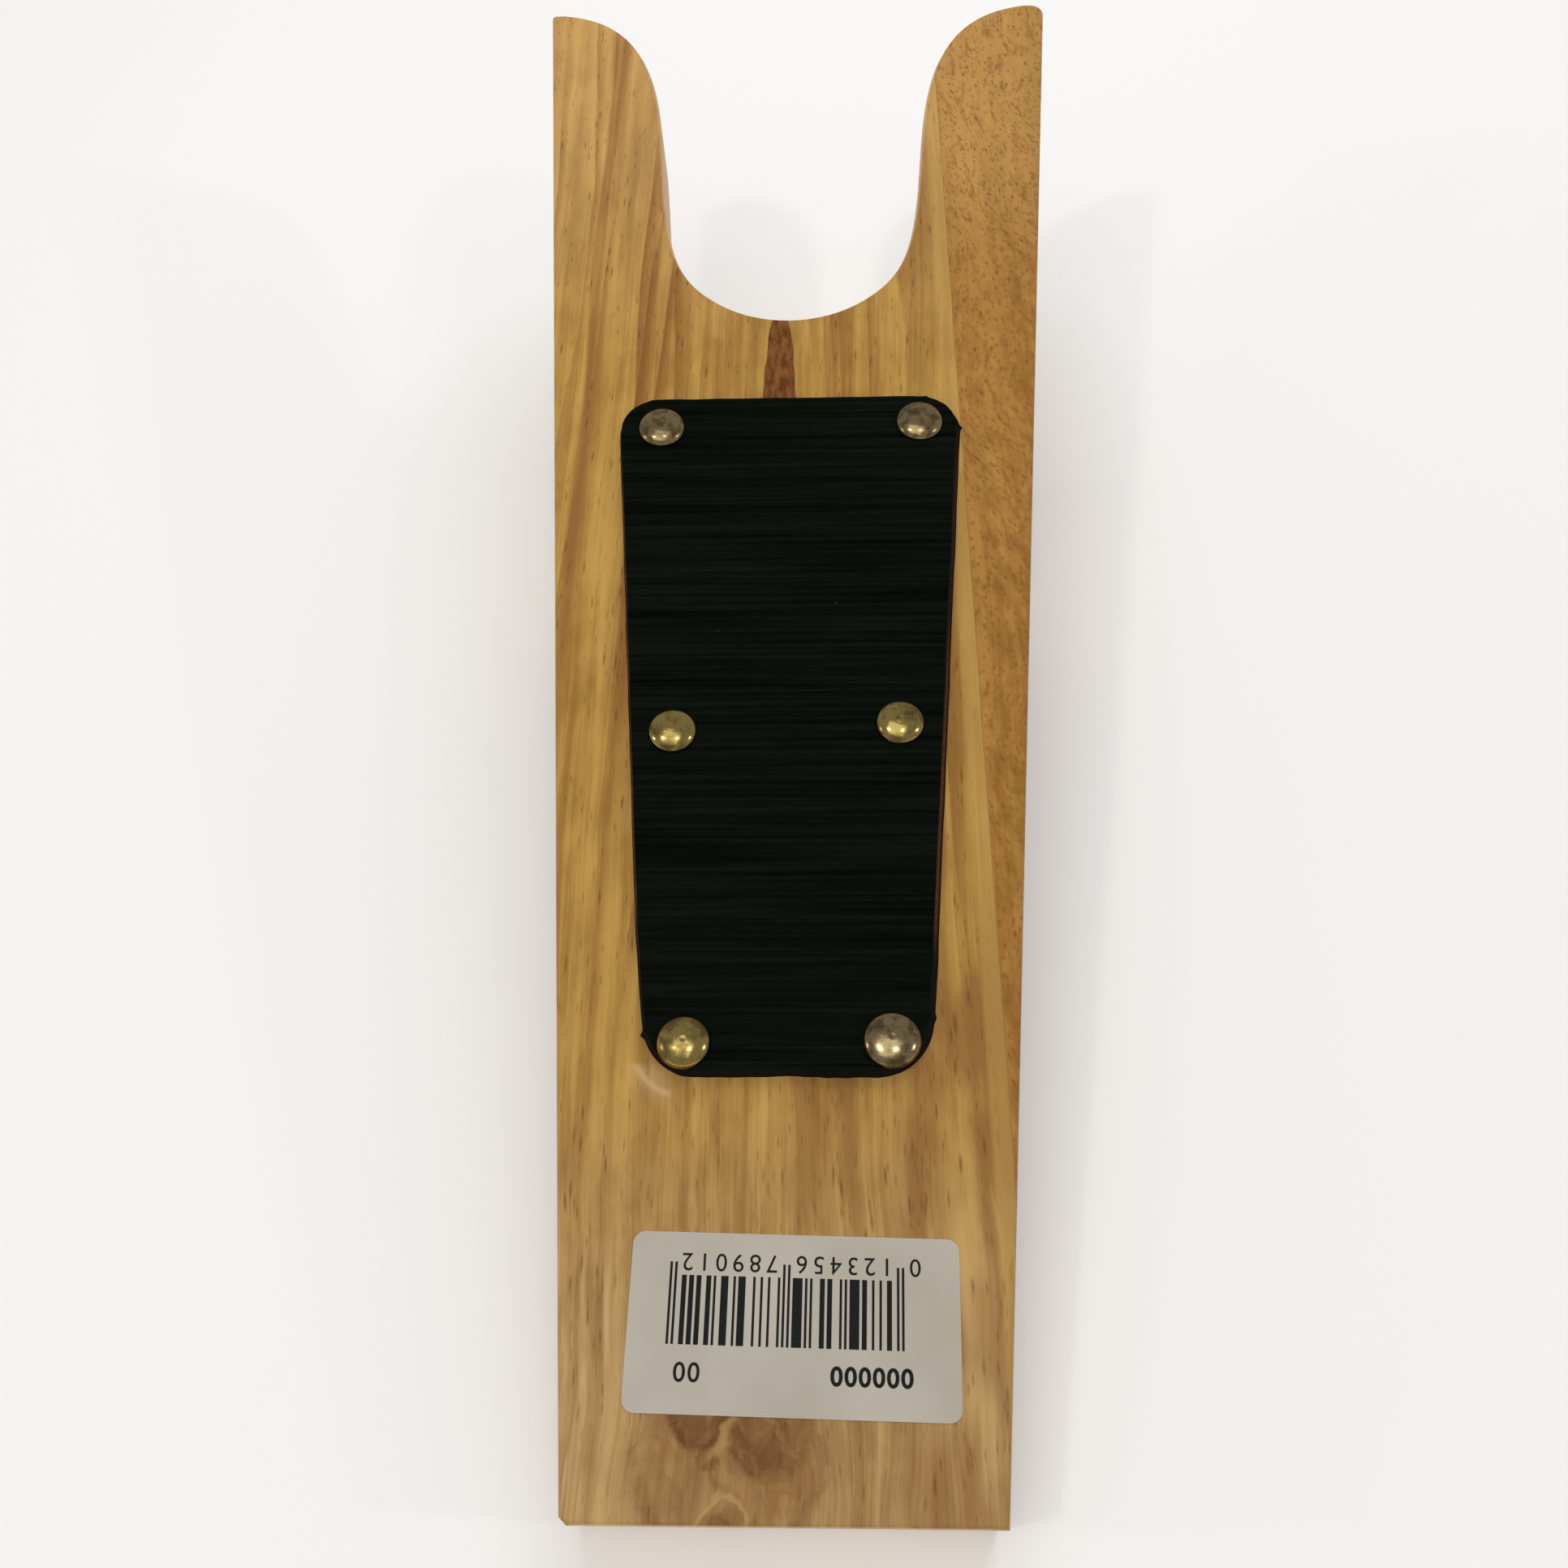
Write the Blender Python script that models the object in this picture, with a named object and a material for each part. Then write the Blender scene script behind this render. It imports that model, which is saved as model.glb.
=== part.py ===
"""Wooden boot jack: an inclined board with a heel notch, a rubber tread pad and a support block.

The pieces are laid out in the board's own frame: X across the board, Y along its length from the
tail end, Z square to it, with zero at the tail end of the top face. An empty then tilts that frame so
that the tail's lower edge and the support block stand on the floor at Z = 0.
"""

import math

import bmesh
import bpy
from mathutils import Matrix, Vector

# Gap kept between pieces that touch.
GAP = 0.0003

# Board: two edge-glued staves, tapering towards the tail.
BOARD_LENGTH = 0.3328
BOARD_THICKNESS = 0.018
TAIL_HALF_WIDTH = 0.032
SIDE_TAPER = 0.0862
INCLINE = math.radians(10.0)
TAIL_CLIP = 0.0011
LEFT_HORN_RADIUS = 0.0010
RIGHT_HORN_RADIUS = 0.0032

# Glue line between the two staves: its place at the tail end, and how it leans along the board.
GLUE_LINE_AT_TAIL = 0.0363
GLUE_LINE_LEAN = -0.0099

# Heel notch: a round bottom that runs into one smooth curve on each side, up to the horn's tip.
NOTCH_OFFSET = -0.0009
NOTCH_RADIUS = 0.0259
NOTCH_CENTRE = 0.2558
FLANK_ANGLE = math.atan(0.54)
HORN_PULL_IN = 0.0274
HORN_PULL_OUT = 0.0365
HORN_TIP_HALF_WIDTH = 0.0565
HORN_TIP_ANGLE = math.atan(0.167)

# Rubber tread pad, with its sides parallel to the board's sides. It sits a little to the left.
PAD_START = 0.0649
PAD_END = 0.2057
PAD_LEFT_MARGIN = 0.0140
PAD_RIGHT_MARGIN = 0.0147
PAD_TOP = 0.0025
PAD_CORNER_RADIUS = 0.0080

# Upholstery tacks: a domed hollow head on a thin shank. Two sizes were used, driven by hand.
TACK_SHELL = 0.0005
TACK_DOME_HEIGHT = 0.0022
TACK_SHANK_RADIUS = 0.0007
TACK_LENGTH = 0.0130
TACK_POINT = 0.0020
LARGE_HEAD_RADIUS = 0.0048
SMALL_HEAD_RADIUS = 0.0045
TACKS = {
    "tack_top_left": (-0.0265, 0.1981, LARGE_HEAD_RADIUS),
    "tack_top_right": (0.0257, 0.1988, LARGE_HEAD_RADIUS),
    "tack_middle_left": (-0.0211, 0.1276, SMALL_HEAD_RADIUS),
    "tack_middle_right": (0.0199, 0.1290, SMALL_HEAD_RADIUS),
    "tack_bottom_left": (-0.0167, 0.0698, SMALL_HEAD_RADIUS),
    "tack_bottom_right": (0.0170, 0.0702, LARGE_HEAD_RADIUS),
}

# Support block under the board, just behind the notch.
BLOCK_START = 0.179
BLOCK_END = 0.215
BLOCK_HALF_WIDTH = 0.042
BLOCK_EDGE = 0.0015

# Countersunk screws that hold the block, hidden under the pad.
SCREW_ALONG = 0.192
SCREW_ACROSS = 0.015
SCREW_LENGTH = 0.040
SCREW_HEAD_RADIUS = 0.0040
SCREW_HEAD_DEPTH = 0.0024
SCREW_SHANK_RADIUS = 0.0018
SCREW_THREAD_RADIUS = 0.0020
SCREW_ROOT_RADIUS = 0.0013
SCREW_THREAD_START = 0.0150
SCREW_PITCH = 0.0018
SCREW_POINT = 0.0040
RECESS_WIDTH = 0.0011
RECESS_SPAN = 0.0044
RECESS_DEPTH = 0.0018
RECESS_TAPER = 0.5

# Paper label on the tail, stuck on slightly askew.
LABEL_LENGTH = 0.0500
LABEL_WIDTH = 0.0258
LABEL_CENTRE = (0.0013, 0.0271)
LABEL_TURN = math.radians(-1.3)
LABEL_CORNER_RADIUS = 0.0019
LABEL_THICKNESS = 0.0002

# Facets on round shapes.
TACK_SEGMENTS = 24
SCREW_SEGMENTS = 16
HOLE_SEGMENTS = 12
DOME_STEPS = 6


def clear_scene():
    for obj in list(bpy.data.objects):
        bpy.data.objects.remove(obj, do_unlink=True)


def make_material(name, colour, roughness, metallic=0.0):
    material = bpy.data.materials.new(name)
    material.use_nodes = True
    shader = material.node_tree.nodes["Principled BSDF"]
    shader.inputs["Base Color"].default_value = (*colour, 1.0)
    shader.inputs["Roughness"].default_value = roughness
    shader.inputs["Metallic"].default_value = metallic
    material.diffuse_color = (*colour, 1.0)
    return material


def add_object(name, bm, parent, material=None, smooth=False):
    """Turns a bmesh into a named object in the board's frame."""
    bmesh.ops.recalc_face_normals(bm, faces=bm.faces[:])
    mesh = bpy.data.meshes.new(name)
    bm.to_mesh(mesh)
    bm.free()
    if smooth:
        mesh.shade_smooth()
        mesh.set_sharp_from_angle(angle=math.radians(35.0))
    if material is not None:
        mesh.materials.append(material)
    obj = bpy.data.objects.new(name, mesh)
    bpy.context.collection.objects.link(obj)
    obj.parent = parent
    return obj


def cut(obj, cutter):
    """Takes the cutter's shape out of an object, and keeps the cutter out of the model."""
    cutter.hide_render = True
    cutter.display_type = "WIRE"
    modifier = obj.modifiers.new("cut_" + cutter.name, "BOOLEAN")
    modifier.operation = "DIFFERENCE"
    modifier.solver = "EXACT"
    modifier.object = cutter


def arc(centre, radius, start, end, steps):
    """Points on a circle from one angle to another."""
    points = []
    for step in range(steps + 1):
        angle = start + (end - start) * step / steps
        points.append(Vector((centre[0] + radius * math.cos(angle), centre[1] + radius * math.sin(angle))))
    return points


def bezier(start, handle_a, handle_b, end, steps):
    """Points on a cubic curve, leaving out its first point."""
    points = []
    for step in range(1, steps + 1):
        t = step / steps
        u = 1.0 - t
        points.append(u**3 * start + 3 * u * u * t * handle_a + 3 * u * t * t * handle_b + t**3 * end)
    return points


def rounded_corner(before, corner, after, radius, steps=5):
    """Points of an arc that rounds one corner of an outline."""
    to_before = (before - corner).normalized()
    to_after = (after - corner).normalized()
    half_angle = to_before.angle(to_after) / 2.0
    bisector = (to_before + to_after).normalized()
    centre = corner + bisector * (radius / math.sin(half_angle))
    tangent = radius / math.tan(half_angle)
    start = corner + to_before * tangent - centre
    end = corner + to_after * tangent - centre
    start_angle = math.atan2(start.y, start.x)
    sweep = math.remainder(math.atan2(end.y, end.x) - start_angle, math.tau)
    return arc(centre, radius, start_angle, start_angle + sweep, steps)


def rounded_outline(corners, radius):
    """A closed outline with every corner rounded by the same radius."""
    points = []
    count = len(corners)
    for index, corner in enumerate(corners):
        before = corners[index - 1]
        after = corners[(index + 1) % count]
        points += rounded_corner(before, corner, after, radius)
    return points


def prism(outline, low, high):
    """A flat outline drawn up into a slab between two heights."""
    bm = bmesh.new()
    base = bm.faces.new([bm.verts.new((point.x, point.y, low)) for point in outline])
    drawn = bmesh.ops.extrude_face_region(bm, geom=[base])
    top = [item for item in drawn["geom"] if isinstance(item, bmesh.types.BMVert)]
    bmesh.ops.translate(bm, verts=top, vec=(0.0, 0.0, high - low))
    return bm


def turned(profile, segments):
    """A profile of (radius, height) points, with both ends on the axis, spun around Z."""
    bm = bmesh.new()
    verts = [bm.verts.new((radius, 0.0, height)) for radius, height in profile]
    edges = [bm.edges.new(pair) for pair in zip(verts, verts[1:])]
    bmesh.ops.spin(
        bm,
        geom=verts + edges,
        cent=(0.0, 0.0, 0.0),
        axis=(0.0, 0.0, 1.0),
        angle=math.tau,
        steps=segments,
        use_merge=True,
    )
    bmesh.ops.remove_doubles(bm, verts=bm.verts[:], dist=1e-6)
    return bm


def add_drill(bm, x, y, top, bottom, top_radius, bottom_radius):
    """Adds one hole to a cutter. Its flats, not its corners, lie at the stated radii."""
    to_corner = 1.0 / math.cos(math.pi / HOLE_SEGMENTS)
    bmesh.ops.create_cone(
        bm,
        cap_ends=True,
        segments=HOLE_SEGMENTS,
        radius1=bottom_radius * to_corner,
        radius2=top_radius * to_corner,
        depth=top - bottom,
        matrix=Matrix.Translation((x, y, (top + bottom) / 2.0)),
    )


def board_half_width(along):
    return TAIL_HALF_WIDTH + SIDE_TAPER * along


def notch_half():
    """One side of the heel notch, from the bottom of its round end to the tip of the horn."""
    centre = (0.0, NOTCH_CENTRE)
    points = arc(centre, NOTCH_RADIUS, -math.pi / 2.0, -FLANK_ANGLE, 12)
    flank = Vector((math.sin(FLANK_ANGLE), math.cos(FLANK_ANGLE)))
    tip = Vector((HORN_TIP_HALF_WIDTH, BOARD_LENGTH))
    tip_direction = Vector((math.cos(HORN_TIP_ANGLE), math.sin(HORN_TIP_ANGLE)))
    handle_a = points[-1] + flank * HORN_PULL_IN
    handle_b = tip - tip_direction * HORN_PULL_OUT
    points += bezier(points[-1], handle_a, handle_b, tip, 20)
    return points


def board_outline():
    """The whole board seen from above, counter-clockwise from the tail's right corner."""
    half = notch_half()
    right = [Vector((point.x + NOTCH_OFFSET, point.y)) for point in half]
    left = [Vector((NOTCH_OFFSET - point.x, point.y)) for point in half]
    tail_right = Vector((TAIL_HALF_WIDTH, 0.0))
    tail_left = Vector((-TAIL_HALF_WIDTH, 0.0))
    horn_right = Vector((board_half_width(BOARD_LENGTH), BOARD_LENGTH))
    horn_left = Vector((-board_half_width(BOARD_LENGTH), BOARD_LENGTH))
    outline = [tail_right]
    outline += rounded_corner(tail_right, horn_right, right[-1], RIGHT_HORN_RADIUS, 4)
    outline += right[::-1]
    outline += left[1:]
    outline += rounded_corner(left[-1], horn_left, tail_left, LEFT_HORN_RADIUS, 3)
    outline.append(Vector((-board_half_width(TAIL_CLIP), TAIL_CLIP)))
    outline.append(Vector((-TAIL_HALF_WIDTH + TAIL_CLIP, 0.0)))
    return outline


def keep_one_side(bm, point, normal):
    """Cuts a solid with a plane, drops the side that the normal points to, and closes the cut."""
    parts = bm.verts[:] + bm.edges[:] + bm.faces[:]
    result = bmesh.ops.bisect_plane(
        bm, geom=parts, dist=1e-7, plane_co=point, plane_no=normal, clear_outer=True
    )
    rim = [item for item in result["geom_cut"] if isinstance(item, bmesh.types.BMEdge)]
    bmesh.ops.edgeloop_fill(bm, edges=rim)


def make_stave(name, side, frame, material):
    """One stave of the board: side is +1 for the part right of the glue line, -1 for the left."""
    bm = prism(board_outline(), -BOARD_THICKNESS, 0.0)
    away = Vector((-1.0, GLUE_LINE_LEAN, 0.0)).normalized() * side
    glue_line = Vector((GLUE_LINE_AT_TAIL, 0.0, 0.0))
    keep_one_side(bm, glue_line - away * (GAP / 2.0), away)
    return add_object(name, bm, frame, material)


def drill_main_stave(stave, frame):
    """Pilot holes for the tacks, and clearance holes with countersinks for the block's screws."""
    over = 0.001
    bm = bmesh.new()
    hole = TACK_SHANK_RADIUS + GAP
    for x, y, _head in TACKS.values():
        add_drill(bm, x, y, over, PAD_TOP - TACK_LENGTH - GAP, hole, hole)
    cut(stave, add_object("tack_hole_cutter", bm, frame))

    bm = bmesh.new()
    shank_hole = SCREW_THREAD_RADIUS + GAP
    for side in (-1, 1):
        add_drill(bm, side * SCREW_ACROSS, SCREW_ALONG, over, -BOARD_THICKNESS - over, shank_hole, shank_hole)
    cut(stave, add_object("screw_hole_cutter", bm, frame))

    bm = bmesh.new()
    slope = (SCREW_HEAD_RADIUS - SCREW_SHANK_RADIUS) / (SCREW_HEAD_DEPTH - GAP)
    sink = SCREW_HEAD_DEPTH + GAP
    mouth = SCREW_HEAD_RADIUS + GAP + 2.0 * GAP * slope
    for side in (-1, 1):
        x = side * SCREW_ACROSS
        add_drill(bm, x, SCREW_ALONG, over, -sink, mouth + slope * over, mouth - slope * sink)
    cut(stave, add_object("countersink_cutter", bm, frame))


def make_support_block(frame, material):
    """A block square to the board, with its bottom cut to stand flat on the floor."""
    top = -BOARD_THICKNESS - GAP
    corners = []
    for along in (BLOCK_START, BLOCK_END):
        corners.append((along, top))
    for along in (BLOCK_END, BLOCK_START):
        corners.append((along, -BOARD_THICKNESS - along * math.tan(INCLINE)))
    bm = bmesh.new()
    end = bm.faces.new([bm.verts.new((-BLOCK_HALF_WIDTH, along, height)) for along, height in corners])
    drawn = bmesh.ops.extrude_face_region(bm, geom=[end])
    far_end = [item for item in drawn["geom"] if isinstance(item, bmesh.types.BMVert)]
    bmesh.ops.translate(bm, verts=far_end, vec=(2.0 * BLOCK_HALF_WIDTH, 0.0, 0.0))
    block = add_object("support_block", bm, frame, material)

    bevel = block.modifiers.new("eased_edges", "BEVEL")
    bevel.width = BLOCK_EDGE
    bevel.segments = 2
    bevel.limit_method = "ANGLE"

    bm = bmesh.new()
    hole = SCREW_THREAD_RADIUS + GAP
    for side in (-1, 1):
        add_drill(bm, side * SCREW_ACROSS, SCREW_ALONG, 0.0, -SCREW_LENGTH - 2.0 * GAP, hole, hole)
    cut(block, add_object("block_hole_cutter", bm, frame))
    return block


def pad_left(along):
    return Vector((PAD_LEFT_MARGIN - board_half_width(along), along))


def pad_right(along):
    return Vector((board_half_width(along) - PAD_RIGHT_MARGIN, along))


def make_tread_pad(frame, material):
    """A slab of rubber, with a hole for each tack."""
    corners = [pad_left(PAD_START), pad_right(PAD_START), pad_right(PAD_END), pad_left(PAD_END)]
    bm = prism(rounded_outline(corners, PAD_CORNER_RADIUS), GAP, PAD_TOP)
    pad = add_object("tread_pad", bm, frame, material)

    bm = bmesh.new()
    over = 0.001
    hole = TACK_SHANK_RADIUS + GAP
    for x, y, _head in TACKS.values():
        add_drill(bm, x, y, PAD_TOP + over, -over, hole, hole)
    cut(pad, add_object("pad_hole_cutter", bm, frame))
    return pad


def dome(radius, height, base):
    """Points of a shallow dome, from its rim to its top, as a flattened quarter circle."""
    points = []
    for step in range(DOME_STEPS + 1):
        angle = math.pi / 2.0 * step / DOME_STEPS
        points.append((radius * math.cos(angle), base + height * math.sin(angle)))
    points[-1] = (0.0, base + height)
    return points


def tack_profile(head_radius):
    """Half section of a tack: the point, the shank, the hollow underside and the domed top."""
    inner = dome(head_radius - TACK_SHELL, TACK_DOME_HEIGHT - TACK_SHELL, GAP)
    inner = [point for point in inner if point[0] > 1.5 * TACK_SHANK_RADIUS]
    ceiling = inner[-1][1]
    shank = [
        (0.0, -TACK_LENGTH),
        (TACK_SHANK_RADIUS, -TACK_LENGTH + TACK_POINT),
        (TACK_SHANK_RADIUS, ceiling),
    ]
    return shank + inner[::-1] + dome(head_radius, TACK_DOME_HEIGHT, GAP)


def make_tacks(frame, material):
    for name, (x, y, head_radius) in TACKS.items():
        bm = turned(tack_profile(head_radius), TACK_SEGMENTS)
        tack = add_object(name, bm, frame, material, smooth=True)
        tack.location = (x, y, PAD_TOP)


def screw_profile():
    """Half section of a wood screw, from its point up to its flat head. The thread is plain rings."""
    profile = [(0.0, -SCREW_LENGTH)]
    height = -SCREW_LENGTH + SCREW_POINT
    while height + SCREW_PITCH < -SCREW_THREAD_START:
        profile.append((SCREW_ROOT_RADIUS, height))
        profile.append((SCREW_THREAD_RADIUS, height + SCREW_PITCH / 2.0))
        height += SCREW_PITCH
    profile.append((SCREW_ROOT_RADIUS, height))
    profile.append((SCREW_SHANK_RADIUS, -SCREW_THREAD_START + SCREW_PITCH))
    profile.append((SCREW_SHANK_RADIUS, -SCREW_HEAD_DEPTH))
    profile.append((SCREW_HEAD_RADIUS, -GAP))
    profile.append((SCREW_HEAD_RADIUS, 0.0))
    profile.append((0.0, 0.0))
    return profile


def make_recess_cutter(name, x, frame):
    """A tapered cross, wide at the face of the head and narrow at its bottom."""
    arm = RECESS_SPAN / 2.0
    half = RECESS_WIDTH / 2.0
    outline = []
    for turn in range(4):
        quarter = Matrix.Rotation(turn * math.pi / 2.0, 2)
        outline += [quarter @ Vector(corner) for corner in ((half, -half), (arm, -half), (arm, half))]
    bm = prism(outline, -RECESS_DEPTH, RECESS_DEPTH)
    low = [vert for vert in bm.verts if vert.co.z < 0.0]
    bmesh.ops.scale(bm, verts=low, vec=(RECESS_TAPER, RECESS_TAPER, 1.0))
    cutter = add_object(name, bm, frame)
    cutter.location = (x, SCREW_ALONG, -GAP)
    return cutter


def make_block_screws(frame, material):
    for word, side in (("left", -1), ("right", 1)):
        bm = turned(screw_profile(), SCREW_SEGMENTS)
        screw = add_object("block_screw_" + word, bm, frame, material, smooth=True)
        screw.location = (side * SCREW_ACROSS, SCREW_ALONG, -GAP)
        cut(screw, make_recess_cutter("recess_cutter_" + word, side * SCREW_ACROSS, frame))


def make_label(frame, material):
    half_length = LABEL_LENGTH / 2.0
    half_width = LABEL_WIDTH / 2.0
    corners = [
        Vector((-half_length, -half_width)),
        Vector((half_length, -half_width)),
        Vector((half_length, half_width)),
        Vector((-half_length, half_width)),
    ]
    bm = prism(rounded_outline(corners, LABEL_CORNER_RADIUS), 0.0, LABEL_THICKNESS)
    label = add_object("paper_label", bm, frame, material)
    label.location = (LABEL_CENTRE[0], LABEL_CENTRE[1], GAP)
    label.rotation_euler = (0.0, 0.0, LABEL_TURN)
    return label


def make_board_frame():
    """The empty that tilts the board and centres the whole object over the origin."""
    reach = BOARD_LENGTH * math.cos(INCLINE) + BOARD_THICKNESS * math.sin(INCLINE)
    frame = bpy.data.objects.new("board_frame", None)
    bpy.context.collection.objects.link(frame)
    frame.location = (0.0, -reach / 2.0, BOARD_THICKNESS * math.cos(INCLINE))
    frame.rotation_euler = (INCLINE, 0.0, 0.0)
    return frame


def main():
    clear_scene()
    light_wood = make_material("light_wood", (0.48, 0.29, 0.10), 0.50)
    dark_wood = make_material("dark_wood", (0.42, 0.21, 0.07), 0.50)
    block_wood = make_material("block_wood", (0.46, 0.27, 0.10), 0.60)
    rubber = make_material("rubber", (0.010, 0.014, 0.011), 0.60)
    brass = make_material("brass", (0.55, 0.43, 0.20), 0.30, 1.0)
    steel = make_material("steel", (0.55, 0.55, 0.52), 0.35, 1.0)
    paper = make_material("paper", (0.60, 0.55, 0.52), 0.70)

    frame = make_board_frame()
    main_stave = make_stave("main_stave", -1, frame, light_wood)
    drill_main_stave(main_stave, frame)
    make_stave("edge_stave", 1, frame, dark_wood)
    make_support_block(frame, block_wood)
    make_tread_pad(frame, rubber)
    make_tacks(frame, brass)
    make_block_screws(frame, steel)
    make_label(frame, paper)


main()
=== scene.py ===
"""Looks of a wooden boot jack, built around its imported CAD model.

Every detailed piece is made in the board's own frame: X across the board, Y along it from the tail,
Z square to it, with zero at the tail end of the top face. BOARD carries that frame into the world.
"""

import math

import bmesh
import bpy
import numpy as np
from mathutils import Euler, Matrix, Vector


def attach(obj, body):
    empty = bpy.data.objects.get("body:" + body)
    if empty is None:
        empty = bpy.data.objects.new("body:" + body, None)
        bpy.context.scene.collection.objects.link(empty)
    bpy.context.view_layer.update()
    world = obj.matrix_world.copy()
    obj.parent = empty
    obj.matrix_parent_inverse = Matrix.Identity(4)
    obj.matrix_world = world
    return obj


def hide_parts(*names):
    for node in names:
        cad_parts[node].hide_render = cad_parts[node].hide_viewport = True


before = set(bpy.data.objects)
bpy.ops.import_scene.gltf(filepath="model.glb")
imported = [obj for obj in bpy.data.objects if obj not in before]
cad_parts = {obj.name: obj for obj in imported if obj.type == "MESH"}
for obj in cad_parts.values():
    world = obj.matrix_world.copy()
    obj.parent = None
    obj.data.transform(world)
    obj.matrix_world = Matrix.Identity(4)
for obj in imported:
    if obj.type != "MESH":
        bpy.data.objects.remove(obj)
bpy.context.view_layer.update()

# The board, as the CAD model has it.
BOARD_LENGTH = 0.3328
BOARD_THICKNESS = 0.018
TAIL_HALF_WIDTH = 0.032
SIDE_TAPER = 0.0862
INCLINE = math.radians(10.0)
TAIL_CLIP = 0.0011
LEFT_HORN_RADIUS = 0.0010
RIGHT_HORN_RADIUS = 0.0032
GLUE_LINE_AT_TAIL = 0.0363
GLUE_LINE_LEAN = -0.0099

# The heel notch and the horns.
NOTCH_OFFSET = -0.0009
NOTCH_RADIUS = 0.0259
NOTCH_CENTRE = 0.2558
FLANK_ANGLE = math.atan(0.54)
HORN_PULL_IN = 0.0274
HORN_PULL_OUT = 0.0365
HORN_TIP_HALF_WIDTH = 0.0565
HORN_TIP_ANGLE = math.atan(0.167)

# Sanded edges of the board and the block. The larger one of the notch's flanks starts and ends softly.
BOARD_EASE = 0.0008
FLANK_EASE = 0.0019
FLANK_EASE_START = 0.2360
FLANK_EASE_RISE = 0.0120
FLANK_EASE_END = 0.3295
FLANK_EASE_FALL = 0.0140
EASE_STEPS = 5
BLOCK_EASE = 0.0014

# The support block.
BLOCK_START = 0.179
BLOCK_END = 0.215
BLOCK_HALF_WIDTH = 0.042

# The tread pad: where its foot meets the board, how far its cut sides lean in, and its top.
PAD_START = 0.0647
PAD_END = 0.2060
PAD_LEFT_MARGIN = 0.0137
PAD_RIGHT_MARGIN = 0.0135
PAD_RIGHT_TAPER = 0.0075
PAD_LEFT_LEAN = 0.0006
PAD_RIGHT_LEAN = 0.0010
PAD_END_LEAN = 0.0004
PAD_TOP = 0.0025
PAD_CORNER_RADIUS = 0.0080
PAD_ROWS = 900
PAD_COLUMNS = 72
PAD_WALL_STEPS = (0.12, 0.40, 0.70, 1.0)
PAD_EDGE_ROUNDING = 0.00022
DENT_DEPTH = 0.00020

# The tacks.
LARGE_HEAD_RADIUS = 0.0048
SMALL_HEAD_RADIUS = 0.0045
TACK_HEIGHT = 0.0023
TACK_RIM_WIDTH = 0.00055
TACK_RIM_HEIGHT = 0.00010
TACK_SINK = 0.00012
TACK_PIP_RADIUS = 0.00060
SHANK_RADIUS = 0.0006
SHANK_SHOULDER = -0.0088
SHANK_TIP = -0.0105
TACK_SEGMENTS = 72
TACKS = {
    "tack_top_left": (-0.0265, 0.1981, LARGE_HEAD_RADIUS),
    "tack_top_right": (0.0257, 0.1988, LARGE_HEAD_RADIUS),
    "tack_middle_left": (-0.0211, 0.1276, SMALL_HEAD_RADIUS),
    "tack_middle_right": (0.0199, 0.1290, SMALL_HEAD_RADIUS),
    "tack_bottom_left": (-0.0167, 0.0698, SMALL_HEAD_RADIUS),
    "tack_bottom_right": (0.0170, 0.0702, LARGE_HEAD_RADIUS),
}

# The label, and what is printed on it. Print is laid out as the label is read: u to the right and v
# up from the label's centre, both in metres.
LABEL_LENGTH = 0.0500
LABEL_WIDTH = 0.0258
LABEL_CENTRE = (0.0013, 0.0271)
LABEL_TURN = math.radians(178.7)
LABEL_CORNER_RADIUS = 0.0019
LABEL_THICKNESS = 0.00012
LABEL_EASE = 0.00004
INK_THICKNESS = 0.00002
# How far the label and its print are kept clear of what they lie on.
LIFT = 0.00001
# Bars of each digit in the left half of the code. The right half has the same digits inverted.
DIGIT_BARS = "0001101 0011001 0010011 0111101 0100011 0110001 0101111 0111011 0110111 0001011".split()
PLACEHOLDER_DIGITS = "123456789012"
MODULE = 0.000375
GUARD_MODULES = (0, 1, 2, 45, 46, 47, 48, 49, 92, 93, 94)
BARS_LEFT = -0.0166
BARS_TOP = 0.0033
BARS_BOTTOM = -0.0066
GUARD_BOTTOM = -0.0085
DIGIT_HEIGHT = 0.0026
DIGIT_STEP = 6.9 * MODULE
DIGITS_LOW = -0.0098
ZEROS_LOW = 0.0058

# Figure in the golden wood, in millimetres from the middle of the tail end.
NOTCH_BOTTOM = 230.0
GRAIN_LEAN = 0.45
STREAK_EDGE = -44.4
PITH_CENTRE = -2.85
PITH_HALF_WIDTH = 1.55
SCUFF_CENTRE = (-16.5, 70.5)
SCUFF_RADIUS = 8.9
# Ring lines near the notch: place across at the notch's bottom, lean, and strength.
RING_LINES = (
    (-31.9, 0.04, 0.95),
    (-27.5, 0.06, 0.90),
    (-19.2, 0.02, 0.25),
    (-14.6, 0.03, 0.32),
    (6.4, -0.02, 0.45),
    (9.6, -0.02, 0.50),
)
# Ovals of the knot: centre across and along, and half sizes across and along; then their darkness.
KNOT_FIELD = (-8.0, 9.5, 13.0, 13.0)
KNOT_LOBES = (
    ((-12.3, 16.5, 5.2, 7.0), 0.92),
    ((-10.6, 8.4, 1.5, 2.4), 0.72),
    ((-3.6, 13.5, 4.6, 7.8), 0.76),
    ((-1.5, 14.0, 6.2, 7.6), 0.50),
)
KNOT_FLAME = (-15.2, 11.2, 1.5, 4.2)
KNOT_SWIRL = (-9.0, 0.2, 3.2, 3.4)

# The camera, placed in the board's frame: just above the tail, tipped towards the notch.
CAMERA_PLACE = (0.0074, 0.00185, 0.2272)
CAMERA_TILT = math.radians(27.07)
CAMERA_YAW = math.radians(1.83)
CAMERA_ROLL = math.radians(0.56)
CAMERA_LENS = 32.8
CAMERA_SENSOR = 36.0

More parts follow.
